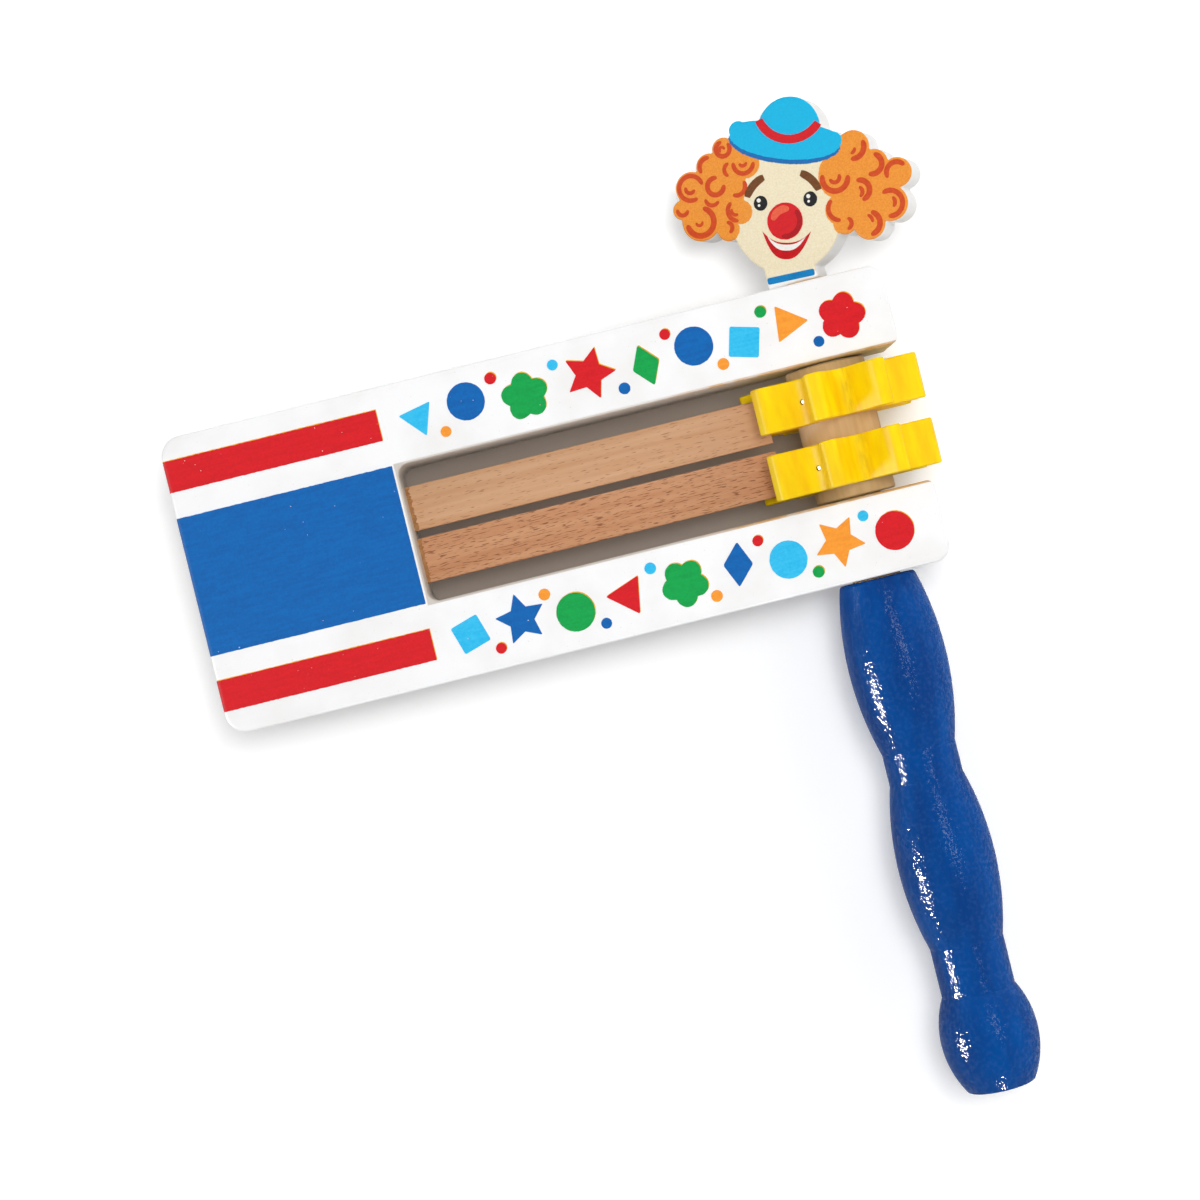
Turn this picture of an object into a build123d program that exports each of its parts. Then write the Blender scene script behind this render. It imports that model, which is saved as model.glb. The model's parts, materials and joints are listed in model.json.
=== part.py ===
from build123d import *

import os
from math import asin, cos, degrees, radians, sin

# A wooden ratchet noisemaker, lying on its back. +X runs along the frame from the
# solid block to the open ends of the arms, +Y along the axle from the handle to the
# clown's head, +Z up out of the printed face. All sizes are in millimetres.

# Frame: one board with a window that is open at the far end
FRAME_LENGTH = 164.0
FRAME_WIDTH = 67.0
FRAME_THICKNESS = 23.5
BLOCK_LENGTH = 49.8
WINDOW_WIDTH = 31.0
BLOCK_CORNER_RADIUS = 4.6
ARM_CORNER_RADIUS = 3.6
ARM_INNER_CORNER_RADIUS = 1.8
WINDOW_CORNER_RADIUS = 2.5
FRAME_EDGE_ROUND = 0.9
AXLE_INSET = 16.3

# Fits
RUNNING_CLEARANCE = 0.1
GLUE_LINE = 0.03

# Axle and the barrel that the gears sit on
AXLE_DIAMETER = 11.0
AXLE_END_CHAMFER = 0.5
BARREL_DIAMETER = 18.0
BARREL_END_PLAY = 0.4
BARREL_EDGE_CHAMFER = 0.3

# Gears
GEAR_TEETH = 8
GEAR_TIP_RADIUS = 20.5
GEAR_ROOT_RADIUS = 12.7
GEAR_THICKNESS = 10.3
GEAR_SPACING = 15.0
GEAR_SHIFT = 0.3  # how far the pair sits towards the head
TOOTH_TIP_WIDTH = 3.2
TOOTH_ROOT_WIDTH = 7.2
TOOTH_TIP_ROUND = 1.2
TOOTH_ROOT_ROUND = 2.4
GEAR_EDGE_ROUND = 0.4
VALLEY_ANGLE = 7.5  # how far the valley that takes the slats stands above them

# Brads that pin the gears through the barrel to the axle
BRAD_DIAMETER = 1.2
BRAD_LENGTH = 10.0
BRAD_SET = 0.3

# Slats: thin strips glued into the block, whose free ends ride over the teeth
SLAT_WIDTH = 10.1
SLAT_THICKNESS = 1.7
SLAT_GAP = 1.8
SLAT_TAIL_LENGTH = 15.0
SLAT_END_CLEARANCE = 2.6
SLAT_BEND_GAP = 0.2

# Turned handle, from the shoulder below the arm down to the butt
HANDLE_GAP = 0.5
HANDLE_TOP_DIAMETER = 17.1
UPPER_SWELL_LENGTH = 39.0
UPPER_SWELL_DIAMETER = 22.3
UPPER_WAIST_LENGTH = 7.2
LOWER_SWELL_LENGTH = 37.7
LOWER_SWELL_DIAMETER = 22.0
LOWER_WAIST_LENGTH = 11.1
WAIST_DIAMETER = 16.7
KNOB_LENGTH = 22.1
KNOB_DIAMETER = 22.0
BUTT_DIAMETER = 15.2
HANDLE_EDGE_ROUND = 0.9
HANDLE_BORE_DEPTH = 28.0
BORE_END_SPACE = 0.5

# Cut-out clown's head. The face, hat and hair lean over about the face's centre.
HEAD_GAP = 0.7
HEAD_THICKNESS = 9.5
HEAD_TURN = 20.0
HEAD_LEAN = 13.6
HEAD_EDGE_ROUND = 0.5
HEAD_NOTCH_ROUND = 0.35
FACE_OFFSET = 0.9
FACE_HEIGHT = 15.8
FACE_HALF_WIDTH = 12.7
FACE_HALF_HEIGHT = 12.9
NECK_OFFSET = -1.25
NECK_WIDTH = 11.5
HAT_DROOP = 7.5
BRIM_OFFSET = -0.2
BRIM_HEIGHT = 16.2
BRIM_HALF_WIDTH = 12.9
BRIM_HALF_DEPTH = 4.7
BRIM_TOP_HEIGHT = 17.8
BRIM_TOP_HALF_WIDTH = 13.0
BRIM_TOP_HALF_DEPTH = 3.0
CROWN_OFFSET = 0.8
CROWN_HEIGHT = 18.6
CROWN_HALF_WIDTH = 7.25
CROWN_HALF_HEIGHT = 7.55
HAIR_OFFSET = 15.3
HAIR_HEIGHT = 4.6
HAIR_HALF_WIDTH = 7.6
HAIR_HALF_HEIGHT = 7.0
SCALP_HEIGHT = 9.5
SCALP_HALF_WIDTH = 17.4
SCALP_HALF_HEIGHT = 8.3
# each round of the outline: across from the face's centre, up from it, radius
BRIM_TIPS = [(-10.9, 19.2, 2.1), (10.9, 16.0, 2.0)]
RIGHT_CURLS = [
    (15.4, 14.4, 3.7),
    (20.1, 10.6, 3.2),
    (25.3, 8.5, 3.3),
    (22.6, 6.2, 2.4),
    (23.8, 1.8, 3.9),
    (19.0, -2.4, 3.6),
    (13.5, -2.2, 2.5),
]
LEFT_CURLS = [
    (-14.4, 15.2, 2.6),
    (-17.8, 11.4, 3.0),
    (-22.0, 6.8, 3.7),
    (-24.2, 2.0, 2.2),
    (-19.8, -0.6, 4.5),
    (-13.4, -2.7, 2.6),
]
PEG_DIAMETER = 5.0
PEG_DEPTH = 8.0
PEG_CHAMFER = 0.4

# Sizes that follow from the ones above
arm_end = AXLE_INSET
block_end = AXLE_INSET - FRAME_LENGTH
block_face = block_end + BLOCK_LENGTH
window_length = FRAME_LENGTH - BLOCK_LENGTH
axle_radius = AXLE_DIAMETER / 2
barrel_radius = BARREL_DIAMETER / 2
barrel_length = WINDOW_WIDTH - 2 * BARREL_END_PLAY
brad_radius = BRAD_DIAMETER / 2
tooth_pitch = 360 / GEAR_TEETH
slat_valley = 180 - VALLEY_ANGLE
brad_angle = slat_valley - tooth_pitch
root_half_angle = degrees(asin(TOOTH_ROOT_WIDTH / 2 / GEAR_ROOT_RADIUS))
valley_floor = GEAR_ROOT_RADIUS * cos(radians(tooth_pitch / 2 - root_half_angle))
brad_outer = valley_floor - BRAD_SET
brad_inner = brad_outer - BRAD_LENGTH
slat_offset = (SLAT_GAP + SLAT_WIDTH) / 2
slat_end = -(GEAR_ROOT_RADIUS + SLAT_END_CLEARANCE)
slat_free_length = slat_end - block_face
handle_top = -(FRAME_WIDTH / 2 + HANDLE_GAP)
handle_length = (
    UPPER_SWELL_LENGTH
    + UPPER_WAIST_LENGTH
    + LOWER_SWELL_LENGTH
    + LOWER_WAIST_LENGTH
    + KNOB_LENGTH
)
handle_end = handle_top - handle_length
axle_bottom = handle_top - HANDLE_BORE_DEPTH + BORE_END_SPACE
axle_top = FRAME_WIDTH / 2 + HEAD_GAP
neck_bottom = axle_top + GLUE_LINE

# Outline of a gear, x along the frame and y up
with BuildSketch() as gear_outline:
    with BuildLine():
        corners = []
        for tooth in range(GEAR_TEETH):
            middle = radians(slat_valley + tooth_pitch * (tooth + 0.5))
            for radius, width in (
                (GEAR_ROOT_RADIUS, -TOOTH_ROOT_WIDTH),
                (GEAR_TIP_RADIUS, -TOOTH_TIP_WIDTH),
                (GEAR_TIP_RADIUS, TOOTH_TIP_WIDTH),
                (GEAR_ROOT_RADIUS, TOOTH_ROOT_WIDTH),
            ):
                angle = middle + asin(width / 2 / radius)
                corners.append((radius * cos(angle), radius * sin(angle)))
        Polyline(*corners, close=True)
    make_face()
    middle_radius = (GEAR_TIP_RADIUS + GEAR_ROOT_RADIUS) / 2
    tips = gear_outline.vertices().filter_by(lambda v: v.center().length > middle_radius)
    fillet(tips, TOOTH_TIP_ROUND)
    roots = gear_outline.vertices().filter_by(lambda v: v.center().length < valley_floor + TOOTH_ROOT_ROUND)
    fillet(roots, TOOTH_ROOT_ROUND)

# Outline of the head's board, x across from the axle and y up from the arm's edge
face_centre = Plane((FACE_OFFSET, FACE_HEIGHT, 0)).rotated((0, 0, -HEAD_LEAN))
with BuildSketch() as head_outline:
    with Locations((NECK_OFFSET, neck_bottom - FRAME_WIDTH / 2)):
        Rectangle(NECK_WIDTH, FACE_HEIGHT, align=(Align.CENTER, Align.MIN))
    with Locations(face_centre):
        Ellipse(FACE_HALF_WIDTH, FACE_HALF_HEIGHT)
        with Locations(Location((CROWN_OFFSET, CROWN_HEIGHT, 0), (0, 0, -HAT_DROOP))):
            Ellipse(CROWN_HALF_WIDTH, CROWN_HALF_HEIGHT)
        with Locations(Location((BRIM_OFFSET, BRIM_HEIGHT, 0), (0, 0, -HAT_DROOP))):
            Ellipse(BRIM_HALF_WIDTH, BRIM_HALF_DEPTH)
        with Locations(Location((0, BRIM_TOP_HEIGHT, 0), (0, 0, -HAT_DROOP))):
            Ellipse(BRIM_TOP_HALF_WIDTH, BRIM_TOP_HALF_DEPTH)
        with Locations((HAIR_OFFSET, HAIR_HEIGHT), (-HAIR_OFFSET, HAIR_HEIGHT)):
            Ellipse(HAIR_HALF_WIDTH, HAIR_HALF_HEIGHT)
        with Locations((0, SCALP_HEIGHT)):
            Ellipse(SCALP_HALF_WIDTH, SCALP_HALF_HEIGHT)
        for across, up, radius in BRIM_TIPS + RIGHT_CURLS + LEFT_CURLS:
            with Locations((across, up)):
                Circle(radius)
    fillet(head_outline.vertices(), HEAD_NOTCH_ROUND)

# The origin is under the middle of the whole toy, on the surface that it lies on
gear_box = gear_outline.sketch.bounding_box()
head_box = head_outline.sketch.bounding_box()
head_reach = head_box.max.X * cos(radians(HEAD_TURN)) + HEAD_THICKNESS / 2 * sin(radians(HEAD_TURN))
far_end = max(arm_end, gear_box.max.X, head_reach)
axle_x = -(block_end + far_end) / 2
axle_z = max(-gear_box.min.Y, FRAME_THICKNESS / 2, UPPER_SWELL_DIAMETER / 2)
middle_y = -(handle_end + FRAME_WIDTH / 2 + head_box.max.Y) / 2

# Planes: flat on the board, square to the axle, radial from it, and the block's inner face
board = Plane((axle_x, middle_y, axle_z))
turning_axis = Axis((axle_x, middle_y, axle_z), (0, 1, 0))
inner_face = Plane((axle_x + block_face, middle_y, axle_z), x_dir=(0, 1, 0), z_dir=(1, 0, 0))


def square_to_axle(y):
    """Plane across the axle, y along it, that looks towards the handle with z up."""
    return Plane((axle_x, middle_y + y, axle_z), x_dir=(1, 0, 0), z_dir=(0, -1, 0))


def radial_from_axle(y, angle, radius):
    """Plane that faces out from the axle at an angle from +X towards +Z."""
    out = (cos(radians(angle)), 0, sin(radians(angle)))
    return Plane((axle_x, middle_y + y, axle_z), x_dir=(0, 1, 0), z_dir=out).offset(radius)


os.makedirs("parts", exist_ok=True)

# Frame, with the axle's bores in both arms and a mortise for each slat
with BuildPart() as frame:
    with BuildSketch(board) as frame_outline:
        with Locations((block_end, 0)):
            Rectangle(FRAME_LENGTH, FRAME_WIDTH, align=(Align.MIN, Align.CENTER))
        with Locations((block_face, 0)):
            Rectangle(window_length, WINDOW_WIDTH, align=(Align.MIN, Align.CENTER), mode=Mode.SUBTRACT)
        by_x = frame_outline.vertices().group_by(Axis.X)
        fillet(by_x[0], BLOCK_CORNER_RADIUS)
        fillet(frame_outline.vertices().group_by(Axis.X)[-1].sort_by(Axis.Y)[1:3], ARM_INNER_CORNER_RADIUS)
        far_corners = frame_outline.vertices().group_by(Axis.X)[-1].sort_by(Axis.Y)
        fillet([far_corners[0], far_corners[-1]], ARM_CORNER_RADIUS)
        window_corners = frame_outline.vertices().sort_by_distance((block_face, 0))[:2]
        fillet(window_corners, WINDOW_CORNER_RADIUS)
    extrude(amount=FRAME_THICKNESS / 2, both=True)
    flat_faces = frame.faces().sort_by(Axis.Z)
    fillet(flat_faces[0].edges() + flat_faces[-1].edges(), FRAME_EDGE_ROUND)
    with BuildSketch(square_to_axle(FRAME_WIDTH / 2)):
        Circle(axle_radius + RUNNING_CLEARANCE)
    extrude(amount=FRAME_WIDTH, mode=Mode.SUBTRACT)
    with BuildSketch(inner_face):
        with Locations((slat_offset, 0), (-slat_offset, 0)):
            Rectangle(SLAT_WIDTH + 2 * GLUE_LINE, SLAT_THICKNESS + 2 * GLUE_LINE)
    extrude(amount=-(SLAT_TAIL_LENGTH + GLUE_LINE), mode=Mode.SUBTRACT)
frame.part.label = "frame"
export_step(frame.part, "parts/frame.step")

# Slats: each strip is cut where it leaves the block into a fixed tail and a free end
for place, side in (("upper", 1), ("lower", -1)):
    with BuildPart() as slat_tail:
        with BuildSketch(inner_face):
            with Locations((side * slat_offset, 0)):
                Rectangle(SLAT_WIDTH, SLAT_THICKNESS)
        extrude(amount=-SLAT_TAIL_LENGTH)
    slat_tail.part.label = place + "_slat_tail"
    export_step(slat_tail.part, "parts/" + place + "_slat_tail.step")

    with BuildPart() as slat:
        with BuildSketch(inner_face.offset(SLAT_BEND_GAP)):
            with Locations((side * slat_offset, 0)):
                Rectangle(SLAT_WIDTH, SLAT_THICKNESS)
        extrude(amount=slat_free_length - SLAT_BEND_GAP)
    slat.part.label = place + "_slat"
    export_step(slat.part, "parts/" + place + "_slat.step")

# Gears and the brad through each
for place, side in (("upper", 1), ("lower", -1)):
    gear_y = GEAR_SHIFT + side * GEAR_SPACING / 2
    with BuildPart() as gear:
        with BuildSketch(square_to_axle(gear_y)):
            add(gear_outline.sketch)
        extrude(amount=GEAR_THICKNESS / 2, both=True)
        gear_sides = gear.faces().sort_by(Axis.Y)
        fillet(gear_sides[0].edges() + gear_sides[-1].edges(), GEAR_EDGE_ROUND)
        with BuildSketch(square_to_axle(gear_y)):
            Circle(barrel_radius + GLUE_LINE)
        extrude(amount=GEAR_THICKNESS / 2, both=True, mode=Mode.SUBTRACT)
        with BuildSketch(radial_from_axle(gear_y, brad_angle, brad_inner)):
            Circle(brad_radius)
        extrude(amount=GEAR_TIP_RADIUS - brad_inner, mode=Mode.SUBTRACT)
    gear.part.label = place + "_gear"
    export_step(gear.part, "parts/" + place + "_gear.step")

    with BuildPart() as brad:
        with BuildSketch(radial_from_axle(gear_y, brad_angle, brad_inner)):
            Circle(brad_radius)
        extrude(amount=BRAD_LENGTH)
    brad.part.label = place + "_gear_brad"
    export_step(brad.part, "parts/" + place + "_gear_brad.step")

# Barrel between the arms
with BuildPart() as gear_barrel:
    with BuildSketch(square_to_axle(barrel_length / 2)):
        Circle(barrel_radius)
    extrude(amount=barrel_length)
    chamfer(gear_barrel.edges(), BARREL_EDGE_CHAMFER)
    with BuildSketch(square_to_axle(barrel_length / 2)):
        Circle(axle_radius + GLUE_LINE)
    extrude(amount=barrel_length, mode=Mode.SUBTRACT)
    for side in (1, -1):
        with BuildSketch(radial_from_axle(GEAR_SHIFT + side * GEAR_SPACING / 2, brad_angle, brad_inner)):
            Circle(brad_radius)
        extrude(amount=BRAD_LENGTH, mode=Mode.SUBTRACT)
gear_barrel.part.label = "gear_barrel"
export_step(gear_barrel.part, "parts/gear_barrel.step")

# Axle: a dowel from the handle's bore up to the head, bored for the head's peg
with BuildPart() as axle:
    with BuildSketch(square_to_axle(axle_top)):
        Circle(axle_radius)
    extrude(amount=axle_top - axle_bottom)
    chamfer(axle.edges().sort_by(Axis.Y)[0], AXLE_END_CHAMFER)
    with BuildSketch(square_to_axle(axle_top)):
        Circle(PEG_DIAMETER / 2 + GLUE_LINE)
    extrude(amount=PEG_DEPTH, mode=Mode.SUBTRACT)
    for side in (1, -1):
        with BuildSketch(radial_from_axle(GEAR_SHIFT + side * GEAR_SPACING / 2, brad_angle, brad_inner)):
            Circle(brad_radius)
        extrude(amount=BRAD_LENGTH, mode=Mode.SUBTRACT)
axle.part.label = "axle"
export_step(axle.part, "parts/axle.step")

# Handle: three swells turned on one axis, bored from the top for the axle
with BuildPart() as handle:
    with BuildSketch(board):
        with BuildLine():
            waist = WAIST_DIAMETER / 2
            y1 = handle_top - UPPER_SWELL_LENGTH
            y2 = y1 - UPPER_WAIST_LENGTH
            y3 = y2 - LOWER_SWELL_LENGTH
            y4 = y3 - LOWER_WAIST_LENGTH
            Line((0, handle_top), (HANDLE_TOP_DIAMETER / 2, handle_top))
            ThreePointArc(
                (HANDLE_TOP_DIAMETER / 2, handle_top),
                (UPPER_SWELL_DIAMETER / 2, (handle_top + y1) / 2),
                (waist, y1),
            )
            Line((waist, y1), (waist, y2))
            ThreePointArc((waist, y2), (LOWER_SWELL_DIAMETER / 2, (y2 + y3) / 2), (waist, y3))
            Line((waist, y3), (waist, y4))
            ThreePointArc(
                (waist, y4),
                (KNOB_DIAMETER / 2, (y4 + handle_end) / 2),
                (BUTT_DIAMETER / 2, handle_end),
            )
            Line((BUTT_DIAMETER / 2, handle_end), (0, handle_end))
            Line((0, handle_end), (0, handle_top))
        make_face()
    revolve(axis=turning_axis)
    end_faces = handle.faces().filter_by(Axis.Y).sort_by(Axis.Y)
    fillet(end_faces[0].edges() + end_faces[-1].edges(), HANDLE_EDGE_ROUND)
    with BuildSketch(square_to_axle(handle_top)):
        Circle(axle_radius + GLUE_LINE)
    extrude(amount=HANDLE_BORE_DEPTH, mode=Mode.SUBTRACT)
handle.part.label = "handle"
export_step(handle.part, "parts/handle.step")

# Clown's head: a board on the axle's end, turned a little about it
head_plane = Plane(
    (axle_x, middle_y + FRAME_WIDTH / 2, axle_z),
    x_dir=(cos(radians(HEAD_TURN)), 0, sin(radians(HEAD_TURN))),
    z_dir=(-sin(radians(HEAD_TURN)), 0, cos(radians(HEAD_TURN))),
)
with BuildPart() as clown_head:
    with BuildSketch(head_plane):
        add(head_outline.sketch)
    extrude(amount=HEAD_THICKNESS / 2, both=True)
    flat_faces = clown_head.faces().sort_by(Axis(head_plane.origin, head_plane.z_dir))
    fillet(flat_faces[0].edges() + flat_faces[-1].edges(), HEAD_EDGE_ROUND)
    with BuildSketch(square_to_axle(neck_bottom)):
        Circle(PEG_DIAMETER / 2 + GLUE_LINE)
    extrude(amount=-PEG_DEPTH, mode=Mode.SUBTRACT)
clown_head.part.label = "clown_head"
export_step(clown_head.part, "parts/clown_head.step")

# Peg between the axle's end and the head's neck
with BuildPart() as head_peg:
    with BuildSketch(square_to_axle(neck_bottom + PEG_DEPTH - GLUE_LINE)):
        Circle(PEG_DIAMETER / 2)
    extrude(amount=2 * PEG_DEPTH - GLUE_LINE)
    chamfer(head_peg.edges().filter_by(GeomType.CIRCLE), PEG_CHAMFER)
head_peg.part.label = "head_peg"
export_step(head_peg.part, "parts/head_peg.step")
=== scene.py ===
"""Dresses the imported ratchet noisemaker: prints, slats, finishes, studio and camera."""

import json
import logging
import math
import random
from collections.abc import Callable
from dataclasses import dataclass, field
from enum import Enum
from typing import Any

import bmesh
import bpy
from mathutils import Matrix, Vector

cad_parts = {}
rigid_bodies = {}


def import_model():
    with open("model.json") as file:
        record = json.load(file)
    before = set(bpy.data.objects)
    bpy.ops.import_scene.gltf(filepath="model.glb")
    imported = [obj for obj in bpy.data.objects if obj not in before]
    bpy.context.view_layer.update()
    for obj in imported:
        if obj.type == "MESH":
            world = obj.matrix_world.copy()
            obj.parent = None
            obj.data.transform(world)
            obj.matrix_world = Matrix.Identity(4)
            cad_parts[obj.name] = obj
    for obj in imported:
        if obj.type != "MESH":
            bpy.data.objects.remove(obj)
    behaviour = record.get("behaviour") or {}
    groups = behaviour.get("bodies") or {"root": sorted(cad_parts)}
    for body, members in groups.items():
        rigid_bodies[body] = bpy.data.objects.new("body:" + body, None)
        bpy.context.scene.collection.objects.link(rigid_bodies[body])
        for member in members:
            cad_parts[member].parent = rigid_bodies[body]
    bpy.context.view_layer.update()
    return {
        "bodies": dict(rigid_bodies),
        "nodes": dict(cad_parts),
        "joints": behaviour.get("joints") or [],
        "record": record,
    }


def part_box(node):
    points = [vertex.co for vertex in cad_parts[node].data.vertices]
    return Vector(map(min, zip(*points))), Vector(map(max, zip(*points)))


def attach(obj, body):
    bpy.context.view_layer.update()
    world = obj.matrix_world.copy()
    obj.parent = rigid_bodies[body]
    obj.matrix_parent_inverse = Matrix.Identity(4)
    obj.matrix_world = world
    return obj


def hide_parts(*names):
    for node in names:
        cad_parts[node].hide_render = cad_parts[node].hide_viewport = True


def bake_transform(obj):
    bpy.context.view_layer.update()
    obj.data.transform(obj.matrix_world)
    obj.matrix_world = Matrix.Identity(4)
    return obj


Tree = bpy.types.NodeTree
Node = bpy.types.Node
Socket = bpy.types.NodeSocket
Material = bpy.types.Material
Mesh = bmesh.types.BMesh
Span = tuple[float, float]
Triple = tuple[float, float, float]

log = logging.getLogger("noisemaker")
MM = 0.001
TO_METRES = Matrix.Diagonal((MM, MM, MM, 1))
# thickness of a printed layer, in millimetres
INK_THICKNESS = 0.04


class Ink(Enum):
    """Printing colours as sRGB: the ink, and the second tone of its mottle."""

    SKY = ("25b6ea", "3cc2ef")
    BLUE = ("0568b7", "0a5da8")
    GREEN = ("10a84e", "0d9a48")
    RED = ("dc1c25", "cf1922")
    ORANGE = ("f9a036", "f09330")
    UNDERPRINT = ("f0b321", "e5a41c")
    CURL = ("d7501f", "c9441c")
    COLLAR = ("1b86c6", "177ab8")
    BROW = ("7a4a24", "6b3f1e")
    BLACK = ("17171a", "232326")
    WHITE = ("f7f5f0", "ece9e2")
    LIP = ("cf1a20", "bb151c")
    NOSE = ("dc1c25", "d01a22")
    NOSE_SHADE = ("b3121c", "a5101a")
    NOSE_SHINE = ("ee6b4c", "e4593c")
    SKIN = ("f4e9cb", "ecdfbc")
    HAIR = ("f29c39", "e98d2c")
    HAT = ("04bbe9", "0ab2e0")
    BRIM = ("1470b8", "1266ab")


class Motif(Enum):
    """Shapes of the confetti on the arms."""

    DOT = "dot"
    STAR = "star"
    DIAMOND = "diamond"
    TRIANGLE = "triangle"
    SQUARE = "square"
    FLOWER = "flower"


# motif, ink, place along the frame from the axle, place across it, radius, turn in degrees
Confetti = tuple[Motif, Ink, float, float, float, float]


def linear(code: str) -> tuple[float, float, float, float]:
    """Turns an sRGB hex colour into linear light.

    Args:
        code: Six hex digits.

    Returns:
        Red, green, blue and an alpha of 1.
    """
    channels = [int(code[i : i + 2], 16) / 255 for i in (0, 2, 4)]
    red, green, blue = (c / 12.92 if c <= 0.04045 else ((c + 0.055) / 1.055) ** 2.4 for c in channels)
    return red, green, blue, 1.0


def fill(tree: Tree, node: Node, inputs: dict[int | str, Any]) -> None:
    """Sets or links the inputs of a node.

    Args:
        tree: Node tree of a material or of the world.
        node: The node.
        inputs: For each input's name or number: a value, an sRGB hex colour, an output to link from, or a
            node, whose first output in use is linked.
    """
    for name, value in inputs.items():
        if isinstance(value, Node):
            value = next(output for output in value.outputs if output.enabled)
        if isinstance(value, Socket):
            tree.links.new(value, node.inputs[name])
        else:
            node.inputs[name].default_value = linear(value) if isinstance(value, str) else value


def add_node(tree: Tree, kind: str, inputs: dict[int | str, Any] | None = None, **settings: Any) -> Node:
    """Adds one shader node with its settings and links.

    Args:
        tree: Node tree of a material or of the world.
        kind: Node type, without the ShaderNode prefix.
        inputs: What goes into its inputs, as for fill().
        settings: Attributes of the node, set before its inputs.

    Returns:
        The node.
    """
    node = tree.nodes.new("ShaderNode" + kind)
    for name, value in settings.items():
        setattr(node, name, value)
    fill(tree, node, inputs or {})
    return node


def millimetres(tree: Tree) -> Node:
    """Gives a material its object coordinates in millimetres.

    Args:
        tree: The material's node tree.

    Returns:
        The node that has them.
    """
    place = add_node(tree, "TexCoord")
    return add_node(tree, "VectorMath", {0: place.outputs["Object"], "Scale": 1 / MM}, operation="SCALE")


def streaks(tree: Tree, spot: Node, size: Triple, detail: float) -> Node:
    """Draws a pattern that is drawn out along an axis, such as grain.

    Args:
        tree: The material's node tree.
        spot: Object coordinates in millimetres.
        size: Size of a streak along each axis, in millimetres.
        detail: Fineness of the detail inside it.

    Returns:
        The pattern.
    """
    drawn_out = add_node(tree, "Mapping", {"Vector": spot, "Scale": tuple(1 / side for side in size)})
    return add_node(tree, "TexNoise", {"Vector": drawn_out, "Scale": 1.0, "Detail": detail})


def tint(tree: Tree, pattern: Node, span: Span, under: Node | str, over: str, share: float = 1.0) -> Node:
    """Lays a second colour over a first one where a pattern is strong.

    Args:
        tree: The material's node tree.
        pattern: The pattern.
        span: Its values where the second colour starts and where it is full.
        under: First colour, as a node or as sRGB hex.
        over: Second colour, as sRGB hex.
        share: How much of the second colour there is where it is full.

    Returns:
        The two colours together.
    """
    start, full = span
    rise = {"Value": pattern, "From Min": start, "From Max": full, "To Max": share}
    mask = add_node(tree, "MapRange", rise)
    return add_node(tree, "Mix", {0: mask, 6: under, 7: over}, data_type="RGBA")


@dataclass(frozen=True)
class Finish:
    """What every finish has: a name, and a principled shader that draw() fills."""

    name: str

    def make(self) -> Material:
        """Builds the material.

        Returns:
            The new material.
        """
        material = bpy.data.materials.new(self.name)
        material.use_nodes = True
        tree = material.node_tree
        tree.nodes.clear()
        shader = add_node(tree, "BsdfPrincipled")
        add_node(tree, "OutputMaterial", {"Surface": shader})
        fill(tree, shader, self.draw(tree, millimetres(tree)))
        return material

    def draw(self, tree: Tree, spot: Node) -> dict[str, Any]:
        """Adds the nodes of the finish. Each finish has its own.

        Args:
            tree: The material's node tree.
            spot: Object coordinates in millimetres.

        Returns:
            What goes into the shader's inputs.
        """
        raise NotImplementedError


@dataclass(frozen=True)
class PaintedWindow:
    """Where the frame's window is, for the painted shade and the worn paint on its walls, in millimetres.
    """

    middle: float
    half_width: float
    block_face: float
    rub_start: float
    top: float


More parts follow.
